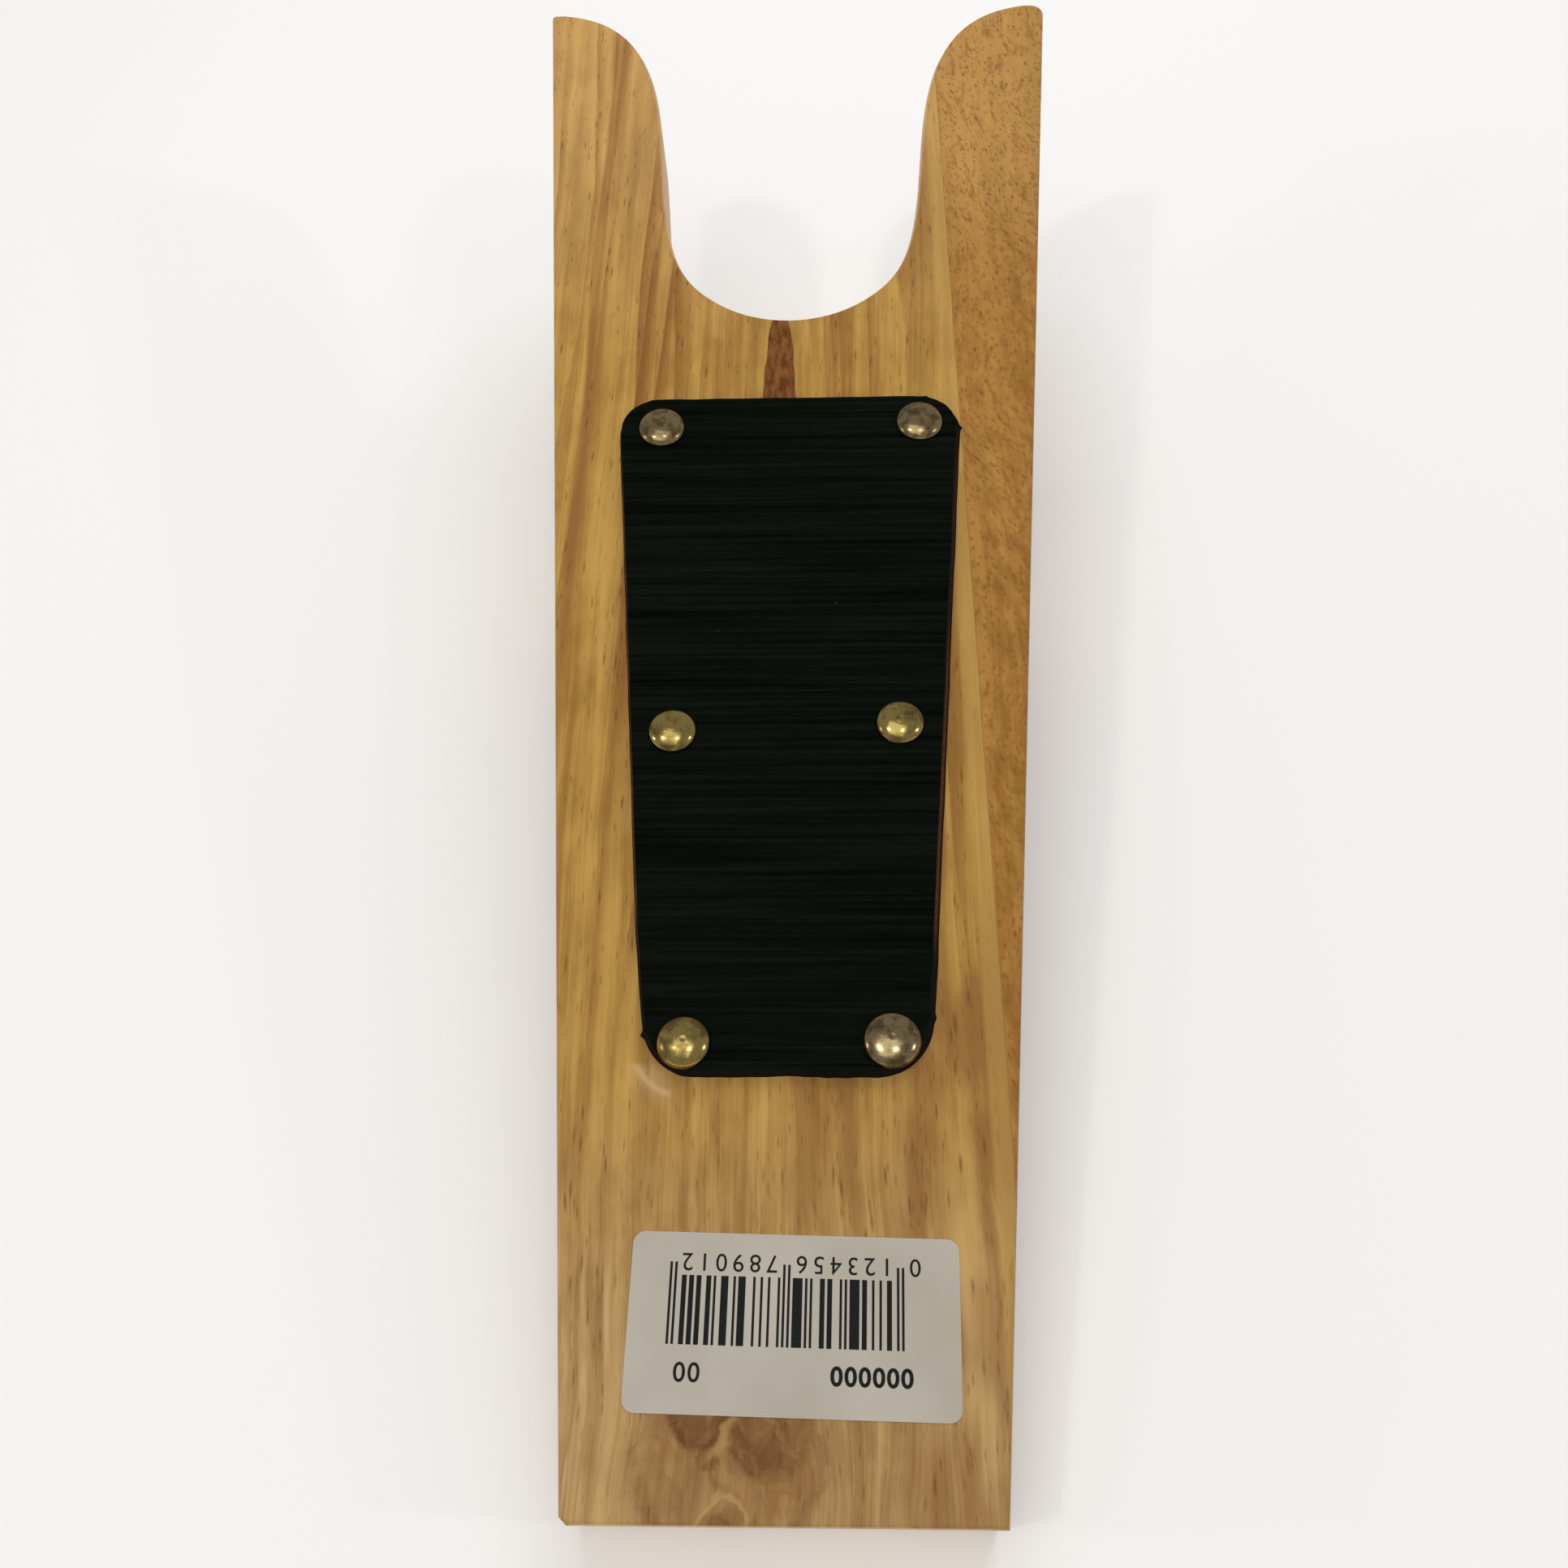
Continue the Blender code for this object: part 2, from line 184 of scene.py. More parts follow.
# The studio. Directions run from the middle of the jack to a light; powers are in watts.
FLOOR_HALF_SIZE = 4.0
LIGHT_TARGET = (0.0, 0.0, 0.04)
ROOM_STRENGTH = 0.41
KEY_LIGHT = {"direction": (-0.15, -0.45, 1.0), "distance": 1.8, "size": 1.5, "power": 8.0}
FILL_LIGHT = {"direction": (0.1, 0.75, 1.0), "distance": 1.1, "size": 0.9, "power": 5.2}
LAMP = {"distance": 1.5, "size": 0.10, "power": 2.0, "colour": (1.0, 0.95, 0.85)}
# A row of four small lamps, in the board's frame, draws the row of highlights on each tack.
LAMP_DIRECTIONS = ((-0.97, -0.12, 0.30), (-0.46, -0.20, 0.86), (0.14, -0.22, 0.96), (0.87, -0.16, 0.46))

BOARD_REACH = BOARD_LENGTH * math.cos(INCLINE) + BOARD_THICKNESS * math.sin(INCLINE)
BOARD_PLACE = Vector((0.0, -BOARD_REACH / 2.0, BOARD_THICKNESS * math.cos(INCLINE)))
BOARD = Matrix.Translation(BOARD_PLACE) @ Matrix.Rotation(INCLINE, 4, "X")


# ---------------------------------------------------------------- meshes


def add_piece(name, bm, material, replaced=(), smooth_angle=None):
    """Turns a bmesh in the board's frame into a named piece that rides on the jack."""
    mesh = bpy.data.meshes.new(name)
    bm.to_mesh(mesh)
    bm.free()
    if smooth_angle is not None:
        mesh.shade_smooth()
        mesh.set_sharp_from_angle(angle=math.radians(smooth_angle))
    mesh.materials.append(material)
    piece = bpy.data.objects.new(name, mesh)
    bpy.context.scene.collection.objects.link(piece)
    piece.matrix_world = BOARD
    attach(piece, "root")
    if replaced:
        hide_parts(*replaced)
    return piece


def even_shading(piece):
    """Keeps the flat faces of a piece with sanded edges looking flat."""
    weighted = piece.modifiers.new("even_shading", "WEIGHTED_NORMAL")
    weighted.keep_sharp = True


def arc(centre, radius, start, end, steps):
    """Points on a circle from one angle to another."""
    points = []
    for step in range(steps + 1):
        angle = start + (end - start) * step / steps
        points.append(Vector((centre[0] + radius * math.cos(angle), centre[1] + radius * math.sin(angle))))
    return points


def bezier(start, handle_a, handle_b, end, steps):
    """Points on a cubic curve, leaving out its first point."""
    points = []
    for step in range(1, steps + 1):
        t = step / steps
        u = 1.0 - t
        points.append(u**3 * start + 3 * u * u * t * handle_a + 3 * u * t * t * handle_b + t**3 * end)
    return points


def rounded_corner(before, corner, after, radius, steps):
    """Points of an arc that rounds one corner of an outline."""
    to_before = (before - corner).normalized()
    to_after = (after - corner).normalized()
    half_angle = to_before.angle(to_after) / 2.0
    bisector = (to_before + to_after).normalized()
    centre = corner + bisector * (radius / math.sin(half_angle))
    tangent = radius / math.tan(half_angle)
    start = corner + to_before * tangent - centre
    end = corner + to_after * tangent - centre
    start_angle = math.atan2(start.y, start.x)
    sweep = math.remainder(math.atan2(end.y, end.x) - start_angle, math.tau)
    return arc(centre, radius, start_angle, start_angle + sweep, steps)


def drawn_out(corners, travel):
    """A closed solid: a flat face with the given corners, drawn out along a vector."""
    bm = bmesh.new()
    base = bm.faces.new([bm.verts.new(corner) for corner in corners])
    drawn = bmesh.ops.extrude_face_region(bm, geom=[base])
    far_end = [item for item in drawn["geom"] if isinstance(item, bmesh.types.BMVert)]
    bmesh.ops.translate(bm, verts=far_end, vec=travel)
    bmesh.ops.recalc_face_normals(bm, faces=bm.faces[:])
    return bm


def board_half_width(along):
    """Half the board's width at a place along it, from its middle line to a side."""
    return TAIL_HALF_WIDTH + SIDE_TAPER * along


def notch_half():
    """One side of the heel notch, from the bottom of its round end to the tip of the horn."""
    points = arc((0.0, NOTCH_CENTRE), NOTCH_RADIUS, -math.pi / 2.0, -FLANK_ANGLE, 36)
    flank = Vector((math.sin(FLANK_ANGLE), math.cos(FLANK_ANGLE)))
    tip = Vector((HORN_TIP_HALF_WIDTH, BOARD_LENGTH))
    tip_direction = Vector((math.cos(HORN_TIP_ANGLE), math.sin(HORN_TIP_ANGLE)))
    handle_a = points[-1] + flank * HORN_PULL_IN
    handle_b = tip - tip_direction * HORN_PULL_OUT
    points += bezier(points[-1], handle_a, handle_b, tip, 56)
    return points


def board_outline():
    """The whole board seen from above, counter-clockwise from the tail's right corner."""
    half = notch_half()
    right = [Vector((point.x + NOTCH_OFFSET, point.y)) for point in half]
    left = [Vector((NOTCH_OFFSET - point.x, point.y)) for point in half]
    tail_right = Vector((TAIL_HALF_WIDTH, 0.0))
    tail_left = Vector((-TAIL_HALF_WIDTH, 0.0))
    horn_right = Vector((board_half_width(BOARD_LENGTH), BOARD_LENGTH))
    horn_left = Vector((-board_half_width(BOARD_LENGTH), BOARD_LENGTH))
    outline = [tail_right]
    outline += rounded_corner(tail_right, horn_right, right[-1], RIGHT_HORN_RADIUS, 10)
    outline += right[::-1]
    outline += left[1:]
    outline += rounded_corner(left[-1], horn_left, tail_left, LEFT_HORN_RADIUS, 6)
    outline.append(Vector((-board_half_width(TAIL_CLIP), TAIL_CLIP)))
    outline.append(Vector((-TAIL_HALF_WIDTH + TAIL_CLIP, 0.0)))
    return outline


def keep_one_side(bm, point, normal):
    """Cuts a solid with a plane, drops the side that the normal points to, and closes the cut."""
    parts = bm.verts[:] + bm.edges[:] + bm.faces[:]
    result = bmesh.ops.bisect_plane(
        bm, geom=parts, dist=1e-7, plane_co=point, plane_no=normal, clear_outer=True
    )
    rim = [item for item in result["geom_cut"] if isinstance(item, bmesh.types.BMEdge)]
    bmesh.ops.edgeloop_fill(bm, edges=rim)


def board_ease(point):
    """Radius of the sanded edge at a place on the outline: larger along the flanks of the notch."""
    past_horn_tip = abs(point.x - NOTCH_OFFSET) > HORN_TIP_HALF_WIDTH - 0.001
    if past_horn_tip or point.y < NOTCH_CENTRE - NOTCH_RADIUS:
        return BOARD_EASE
    rise = (point.y - FLANK_EASE_START) / FLANK_EASE_RISE
    fall = (FLANK_EASE_END - point.y) / FLANK_EASE_FALL
    return BOARD_EASE + (FLANK_EASE - BOARD_EASE) * min(max(min(rise, fall), 0.0), 1.0)


def inward(outline, index):
    """The way into the board at a point of its outline, as long as a step of 1 from both edges needs."""
    point = outline[index]
    before = (point - outline[index - 1]).normalized()
    after = (outline[(index + 1) % len(outline)] - point).normalized()
    normal = Vector((-before.y, before.x))
    middle = (normal + Vector((-after.y, after.x))).normalized()
    return middle / middle.dot(normal)


def eased_board():
    """The whole board as one solid, its top and bottom edges rounded by sanding."""
    outline = board_outline()
    eases = [board_ease(point) for point in outline]
    insets = [inward(outline, index) for index in range(len(outline))]
    turns = [0.5 * math.pi * step / EASE_STEPS for step in range(EASE_STEPS + 1)]
    levels = [(turn, 0.0) for turn in turns]
    levels += [(math.pi - turn, -BOARD_THICKNESS) for turn in turns[::-1]]
    bm = bmesh.new()
    rings = []
    for turn, face in levels:
        ring = []
        for point, ease, inset in zip(outline, eases, insets):
            place = point + inset * ease * (1.0 - math.sin(turn))
            centre = -ease if face == 0.0 else face + ease
            ring.append(bm.verts.new((place.x, place.y, centre + ease * math.cos(turn))))
        rings.append(ring)
    count = len(outline)
    for upper, lower in zip(rings, rings[1:]):
        for index in range(count):
            following = (index + 1) % count
            bm.faces.new((upper[index], lower[index], lower[following], upper[following]))
    bm.faces.new(rings[0])
    bm.faces.new(rings[-1][::-1])
    return bm


def stave_mesh(side):
    """The board with its sanded edges, cut at the glue line. Side is +1 right of it, -1 left of it."""
    bm = eased_board()
    away = Vector((-1.0, GLUE_LINE_LEAN, 0.0)).normalized() * side
    keep_one_side(bm, Vector((GLUE_LINE_AT_TAIL, 0.0, 0.0)), away)
    bmesh.ops.recalc_face_normals(bm, faces=bm.faces[:])
    return bm


def make_board(light, dark):
    """The two staves of the edge-glued board."""
    even_shading(add_piece("board_main", stave_mesh(-1), light, ["main_stave"], 40))
    even_shading(add_piece("board_edge", stave_mesh(1), dark, ["edge_stave"], 40))


def make_block(material):
    """The block square to the board, with its bottom cut to the floor and its edges sanded."""
    top = -BOARD_THICKNESS
    section = [(along, top) for along in (BLOCK_START, BLOCK_END)]
    for along in (BLOCK_END, BLOCK_START):
        section.append((along, top - along * math.tan(INCLINE)))
    corners = [(-BLOCK_HALF_WIDTH, along, height) for along, height in section]
    bm = drawn_out(corners, (2.0 * BLOCK_HALF_WIDTH, 0.0, 0.0))
    # Every edge is sanded but the four that meet the board.
    loose = [edge for edge in bm.edges if min(vert.co.z for vert in edge.verts) < top - 1e-6]
    bmesh.ops.bevel(bm, geom=loose, offset=BLOCK_EASE, segments=4, profile=0.5, affect="EDGES")
    even_shading(add_piece("block_body", bm, material, ["support_block"], 40))


def smooth_noise(positions, spacing, seed):
    """Random heights from -1 to 1 at even spacing, joined by smooth curves."""
    count = 4096
    values = np.random.default_rng(seed).uniform(-1.0, 1.0, count)
    scaled = np.asarray(positions) / spacing + count / 4
    low = np.floor(scaled).astype(int)
    part = scaled - low
    part = part * part * (3.0 - 2.0 * part)
    return values[low % count] * (1.0 - part) + values[(low + 1) % count] * part


def corner_inset(along):
    """How far the pad's rounded corners draw its sides in at a place along it."""
    depth = min(along - PAD_START, PAD_END - along)
    short = max(PAD_CORNER_RADIUS - depth, 0.0)
    return PAD_CORNER_RADIUS - math.sqrt(max(PAD_CORNER_RADIUS**2 - short**2, 0.0))


def peak(place, centre, width):
    """A smooth bump of height 1."""
    return np.exp(-(((place - centre) / width) ** 2))


def pad_foot(row):
    """Left end, right end and place along the board of one row of the pad's hand-cut foot."""
    along = PAD_START + (PAD_END - PAD_START) * row / PAD_ROWS
    half = board_half_width(along) - corner_inset(along)
    left = PAD_LEFT_MARGIN - half + 0.00008 * smooth_noise(along, 0.005, 12)
    right = half - PAD_RIGHT_MARGIN - PAD_RIGHT_TAPER * along + 0.00008 * smooth_noise(along, 0.006, 13)
    # The two corners by the tail are cut rounder than the others.
    left += 0.0008 * peak(along, 0.067, 0.013)
    right -= 0.0007 * peak(along, 0.066, 0.006)
    # Little teeth where a straight cut ran past a rounded one.
    left -= 0.00055 * peak(along, 0.0716, 0.00045)
    right += 0.00045 * peak(along, 0.1992, 0.00045) + 0.00030 * peak(along, 0.0745, 0.0007)
    return left, right, along


def end_waver(across, row):
    """The two ends of the pad waver a little, with a tooth by each of the top corners."""
    at_start = 0.00022 * smooth_noise(across, 0.009, 14) + 0.00008 * smooth_noise(across, 0.0016, 15)
    at_end = 0.00007 * smooth_noise(across, 0.005, 16)
    at_end = at_end + 0.0004 * peak(across, -0.0287, 0.0005) + 0.0004 * peak(across, 0.0273, 0.0005)
    reach = 6.0
    return at_start * max(1.0 - row / reach, 0.0) + at_end * max(1.0 - (PAD_ROWS - row) / reach, 0.0)


def rib_height(across, along):
    """Height of the fine grooves and ribs that cross the tread."""
    place = along + 0.00030 * smooth_noise(across, 0.016, 3)
    coarse = smooth_noise(place, 0.0016, 5)
    grooves = np.minimum(smooth_noise(place + 0.00005 * coarse, 0.00062, 6), 0.1)
    fade = 0.7 + 0.3 * smooth_noise(across + 3.1 * along, 0.012, 7)
    return 0.00005 * coarse + 0.00013 * grooves * fade


def tack_dent(across, along):
    """How far the rubber is pressed down around the tacks."""
    dent = np.zeros_like(across)
    for x, y, radius in TACKS.values():
        away = np.hypot(across - x, along - y) / radius
        dent += DENT_DEPTH * np.exp(-((away / 1.15) ** 4))
    return dent


def ring_around(rows):
    """The outer ring of a grid of points or corners, counter-clockwise."""
    ring = list(rows[0])
    ring += [row[-1] for row in rows[1:]]
    ring += list(rows[-1])[-2::-1]
    ring += [row[0] for row in rows[-2:0:-1]]
    return ring


def pad_foot_row(row):
    """Points of one row across the pad's foot, on the board."""
    left, right, along = pad_foot(row)
    across = np.linspace(left, right, PAD_COLUMNS + 1)
    return [Vector((x, along + waver, 0.0)) for x, waver in zip(across, end_waver(across, row))]


def pad_top_row(row):
    """Points of one row across the pad's top, with its ribs, the tacks' dents and its rounded edges."""
    left, right, along = pad_foot(row)
    across = np.linspace(left + PAD_LEFT_LEAN, right - PAD_RIGHT_LEAN, PAD_COLUMNS + 1)
    to_edge = np.abs(np.linspace(-1.0, 1.0, PAD_COLUMNS + 1))
    height = PAD_TOP + rib_height(across, along) - tack_dent(across, along)
    height = height - PAD_EDGE_ROUNDING * to_edge**40
    place = along + end_waver(across, row) - PAD_END_LEAN * (2.0 * row / PAD_ROWS - 1.0)
    return zip(across, place, height)


def add_pad_walls(bm, rim, base):
    """Cut sides from the top's rim down to the foot, a little hollow, and the flat underside."""
    previous = rim
    for share in PAD_WALL_STEPS:
        ring = []
        for vert, point in zip(rim, base):
            spot = point.lerp(vert.co, 1.0 - share**1.6)
            ring.append(bm.verts.new((spot.x, spot.y, vert.co.z * (1.0 - share))))
        for index in range(len(ring)):
            before = index - 1
            wall = bm.faces.new((previous[before], previous[index], ring[index], ring[before]))
            wall.material_index = 1
        previous = ring
    bm.faces.new(previous)


def make_pad(material, edge_material):
    """The tread: a ribbed top, cut sides that lean in, and a flat underside on the board."""
    bm = bmesh.new()
    rows = range(PAD_ROWS + 1)
    top = [[bm.verts.new(point) for point in pad_top_row(row)] for row in rows]
    for low, high in zip(top, top[1:]):
        for column in range(PAD_COLUMNS):
            bm.faces.new((low[column], low[column + 1], high[column + 1], high[column]))
    foot = [pad_foot_row(row) for row in rows]
    add_pad_walls(bm, ring_around(top), ring_around(foot))
    bmesh.ops.recalc_face_normals(bm, faces=bm.faces[:])
    tread = add_piece("tread", bm, material, ["tread_pad"], 50)
    tread.data.materials.append(edge_material)


def tack_profile(radius):
    """Half section of a tack head: a thin rim, a domed top and a pressed pip at its centre."""
    inner = radius - TACK_RIM_WIDTH
    points = [(inner, 0.0), (radius - 0.00010, -0.00004), (radius, TACK_RIM_HEIGHT)]
    steps = 26
    for step in range(1, steps + 1):
        angle = math.pi / 2.0 * step / steps
        across = radius * max(math.cos(angle), 0.0) ** 0.92
        dome = TACK_RIM_HEIGHT + (TACK_HEIGHT - TACK_RIM_HEIGHT) * math.sin(angle) ** 1.12
        ridge = 0.00006 * math.exp(-(((across - TACK_PIP_RADIUS) / 0.00016) ** 2))
        hollow = 0.00005 * math.exp(-((across / 0.00040) ** 2))
        points.append((across, dome + ridge - hollow))
    points[-1] = (0.0, points[-1][1])
    return points


def turned(profile, segments):
    """A profile of (radius, height) points that ends on the axis, spun around Z."""
    bm = bmesh.new()
    verts = [bm.verts.new((radius, 0.0, height)) for radius, height in profile]
    edges = [bm.edges.new(pair) for pair in zip(verts, verts[1:])]
    bmesh.ops.spin(
        bm,
        geom=verts + edges,
        cent=(0.0, 0.0, 0.0),
        axis=(0.0, 0.0, 1.0),
        angle=math.tau,
        steps=segments,
        use_merge=True,
    )
    bmesh.ops.remove_doubles(bm, verts=bm.verts[:], dist=1e-7)
    return bm


def make_tack(name, number, material):
    """One tack as driven: a head that leans a little and carries small dents, on its shank."""
    x, y, radius = TACKS[name]
    profile = [(0.0, SHANK_TIP), (SHANK_RADIUS, SHANK_SHOULDER), (SHANK_RADIUS, 0.0004)]
    profile.append((radius - TACK_RIM_WIDTH, 0.0003))
    bm = turned(profile + tack_profile(radius), TACK_SEGMENTS)
    randoms = np.random.default_rng(40 + number)
    lean_x, lean_y = randoms.uniform(-0.03, 0.03, 2)
    dents = []
    for _dent in range(4):
        spot = randoms.uniform(-0.8, 0.8, 2) * radius
        dents.append((spot, randoms.uniform(0.2, 0.45) * radius))
    for vert in bm.verts:
        if vert.co.z > 0.0005:
            for spot, size in dents:
                away = math.hypot(vert.co.x - spot[0], vert.co.y - spot[1]) / size
                vert.co.z -= 0.00004 * math.exp(-(away**2))
    turn = Euler((lean_x, lean_y, 0.6 * number)).to_matrix().to_4x4()
    seat = Matrix.Translation((x, y, PAD_TOP - TACK_SINK))
    bmesh.ops.transform(bm, verts=bm.verts[:], matrix=seat @ turn)
    bmesh.ops.recalc_face_normals(bm, faces=bm.faces[:])
    add_piece(name + "_head", bm, material, [name], 40)


def make_tacks(yellow, dull):
    """The six tacks: the larger heads are the greyer ones."""
    for number, (name, (_x, _y, radius)) in enumerate(TACKS.items()):
        if radius == LARGE_HEAD_RADIUS:
            make_tack(name, number, dull)
        else:
            make_tack(name, number, yellow)


def label_place(height):
    """Carries print laid out on the label to its place on the board."""
    return Matrix.Translation((*LABEL_CENTRE, height)) @ Matrix.Rotation(LABEL_TURN, 4, "Z")


def make_label(material):
    """The blank label: a thin sheet with rounded corners and a softened upper rim."""
    half_length = LABEL_LENGTH / 2.0
    half_width = LABEL_WIDTH / 2.0
    signs = ((-1, -1), (1, -1), (1, 1), (-1, 1))
    corners = [Vector((along * half_length, across * half_width)) for along, across in signs]
    outline = []
    for index, corner in enumerate(corners):
        following = corners[(index + 1) % 4]
        outline += rounded_corner(corners[index - 1], corner, following, LABEL_CORNER_RADIUS, 10)
    bm = drawn_out([(point.x, point.y, 0.0) for point in outline], (0.0, 0.0, LABEL_THICKNESS))
    rims = [edge for edge in bm.edges if min(vert.co.z for vert in edge.verts) > LABEL_THICKNESS / 2.0]
    bmesh.ops.bevel(bm, geom=rims, offset=LABEL_EASE, segments=2, profile=0.5, affect="EDGES")
    bmesh.ops.transform(bm, verts=bm.verts[:], matrix=label_place(LIFT))
    add_piece("label_sheet", bm, material, ["paper_label"])


def bar_modules():
    """Ones and zeros of the placeholder barcode, with its guard bars, from left to right."""
    modules = "101"
    for digit in PLACEHOLDER_DIGITS[:6]:
        modules += DIGIT_BARS[int(digit)]
    modules += "01010"
    for digit in PLACEHOLDER_DIGITS[6:]:
        modules += DIGIT_BARS[int(digit)].translate(str.maketrans("01", "10"))
    return modules + "101"


def make_bars(material):
    """The printed bars, one thin solid for each run of dark modules. The guard bars reach lower."""
    modules = bar_modules()
    bm = bmesh.new()
    start = 0
    while start < len(modules):
        end = start
        while end < len(modules) and modules[end] == modules[start]:
            end += 1
        if modules[start] == "1":
            low = GUARD_BOTTOM if start in GUARD_MODULES else BARS_BOTTOM
            left = BARS_LEFT + start * MODULE
            right = BARS_LEFT + end * MODULE
            size = (right - left, BARS_TOP - low, INK_THICKNESS)
            centre = ((left + right) / 2.0, (BARS_TOP + low) / 2.0, INK_THICKNESS / 2.0)
            place = Matrix.Translation(centre) @ Matrix.Diagonal((*size, 1.0))
            bmesh.ops.create_cube(bm, size=1.0, matrix=place)
        start = end
    bmesh.ops.transform(bm, verts=bm.verts[:], matrix=label_place(LABEL_THICKNESS + LIFT))
    add_piece("label_bars", bm, material)


def add_text(bm, words, u, v, height, weight):
    """Adds plain characters, as thin solids, with their lower left corner at (u, v) on the label."""
    curve = bpy.data.curves.new("print", "FONT")
    curve.body = words
    curve.size = height / 0.70
    curve.offset = weight
    curve.extrude = INK_THICKNESS / 2.0
    curve.space_character = 1.12
    holder = bpy.data.objects.new("print", curve)
    bpy.context.scene.collection.objects.link(holder)
    bpy.context.view_layer.update()
    mesh = bpy.data.meshes.new_from_object(holder.evaluated_get(bpy.context.evaluated_depsgraph_get()))
    before = set(bm.verts)
    bm.from_mesh(mesh)
    added = [vert for vert in bm.verts if vert not in before]
    bmesh.ops.translate(bm, verts=added, vec=(u, v, INK_THICKNESS / 2.0))
    bpy.data.objects.remove(holder)
    bpy.data.curves.remove(curve)
    bpy.data.meshes.remove(mesh)


def make_digits(material):
    """The placeholder digits under the bars, and two rows of zeros above them."""
    bm = bmesh.new()
    add_text(bm, "0", -0.0192, DIGITS_LOW, DIGIT_HEIGHT, 0.0)
    for index, digit in enumerate(PLACEHOLDER_DIGITS):
        group_start = BARS_LEFT + (4.5 if index < 6 else 51.0) * MODULE
        add_text(bm, digit, group_start + (index % 6) * DIGIT_STEP, DIGITS_LOW, DIGIT_HEIGHT, 0.0)
    add_text(bm, "000000", -0.0179, ZEROS_LOW, DIGIT_HEIGHT, 0.00010)
    add_text(bm, "00", 0.0136, ZEROS_LOW, 0.0027, 0.00004)
    bmesh.ops.remove_doubles(bm, verts=bm.verts[:], dist=1e-8)
    bmesh.ops.transform(bm, verts=bm.verts[:], matrix=label_place(LABEL_THICKNESS + LIFT))
    bmesh.ops.recalc_face_normals(bm, faces=bm.faces[:])
    add_piece("label_digits", bm, material)


# ---------------------------------------------------------------- materials


class Field:
    """A number that varies over a surface. Sums and products of fields add math nodes."""

    def __init__(self, tree, socket):
        self.tree = tree
        self.socket = socket

    def __add__(self, other):
        return self.tree.math("ADD", self, other)

    def __sub__(self, other):
        return self.tree.math("SUBTRACT", self, other)

    def __rsub__(self, other):
        return self.tree.math("SUBTRACT", other, self)

    def __mul__(self, other):
        return self.tree.math("MULTIPLY", self, other)

    def __abs__(self):
        return self.tree.math("ABSOLUTE", self)

    __radd__ = __add__


class Tree:
    """One node material, built by short calls. A value is a number, a colour or a Field."""

    def __init__(self, name):
        self.material = bpy.data.materials.new(name)
        self.material.use_nodes = True
        self.nodes = self.material.node_tree.nodes
        self.links = self.material.node_tree.links
        self.shader = self.nodes["Principled BSDF"]

    def feed(self, socket, value):
        if isinstance(value, Field):
            self.links.new(value.socket, socket)
        elif socket.type == "RGBA":
            socket.default_value = (*value, 1.0)
        else:
            socket.default_value = value

    def make(self, kind, output=0, values=(), **settings):
        """Adds a node, feeds its inputs in order or by name, and returns one of its outputs."""
        node = self.nodes.new(kind)
        for name, setting in settings.items():
            setattr(node, name, setting)
        for key, value in values.items() if isinstance(values, dict) else enumerate(values):
            self.feed(node.inputs[key], value)
        return Field(self, node.outputs[output])

    def set(self, **values):
        """Sets or links the shader's own inputs."""
        for name, value in values.items():
            self.feed(self.shader.inputs[name.replace("_", " ")], value)

    def math(self, operation, *values):
        return self.make("ShaderNodeMath", values=values, operation=operation)

    def vector(self, x, y, z):
        return self.make("ShaderNodeCombineXYZ", values=(x, y, z))

    def place(self):
        """The point in the board's frame, in millimetres: across, along and height."""
        where = self.make("ShaderNodeTexCoord", "Object")
        parts = self.nodes.new("ShaderNodeSeparateXYZ")
        self.feed(parts.inputs[0], where)
        return [Field(self, output) * 1000.0 for output in parts.outputs]

    def facing_up(self):
        """1 on faces that lie flat on the board, 0 on its sides and ends."""
        normal = self.make("ShaderNodeTexCoord", "Normal")
        parts = self.nodes.new("ShaderNodeSeparateXYZ")
        self.feed(parts.inputs[0], normal)
        return abs(Field(self, parts.outputs[2]))

    def noise(self, x, y, z, detail=2.0, roughness=0.5, distortion=0.0):
        """Cloudy noise around 0.5. Its features are about 1 / factor apart along each axis."""
        values = {"Vector": self.vector(x, y, z), "Scale": 1.0, "Detail": detail}
        values.update(Roughness=roughness, Distortion=distortion)
        return self.make("ShaderNodeTexNoise", values=values)

    def random(self, number):
        """One random value from 0 to 1 for each whole number."""
        return self.make("ShaderNodeTexWhiteNoise", values={"W": number}, noise_dimensions="1D")

    def cells(self, x, y, z):
        """Distance to the nearest of scattered points, and a random value for that point."""
        node = self.nodes.new("ShaderNodeTexVoronoi")
        self.feed(node.inputs["Vector"], self.vector(x, y, z))
        self.feed(node.inputs["Scale"], 1.0)
        parts = self.nodes.new("ShaderNodeSeparateColor")
        self.links.new(node.outputs["Color"], parts.inputs[0])
        return Field(self, node.outputs["Distance"]), Field(self, parts.outputs[0])

    def ramp(self, value, low, high, out_low=0.0, out_high=1.0):
        """Carries a value smoothly from one range to another."""
        values = (value, low, high, out_low, out_high)
        return self.make("ShaderNodeMapRange", values=values, interpolation_type="SMOOTHSTEP")

    def mix(self, factor, first, second):
        """Blends two colours."""
        values = {0: factor, 6: first, 7: second}
        return self.make("ShaderNodeMix", 2, values, data_type="RGBA")

    def bump(self, height, distance, strength):
        values = {"Height": height, "Distance": distance, "Strength": strength}
        return self.make("ShaderNodeBump", values=values)


def pores(tree, across, along, height, width, length, gap, share, extra=0.0):
    """Short open pores along the grain: 1 in a pore, 0 between. Sizes are in millimetres.

    Gap is the room that each pore has across the grain, and share is how many of the places hold one.
    """
    size = 0.5 * width / gap
    stretch = size / (0.5 * length)
    distance, number = tree.cells(across * (1.0 / gap), along * stretch, height * (1.0 / gap))
    chosen = tree.ramp(number + extra, 1.0 - share, 1.15 - 0.5 * share)
    return chosen * tree.ramp(distance, size * 1.40, size * 0.30)


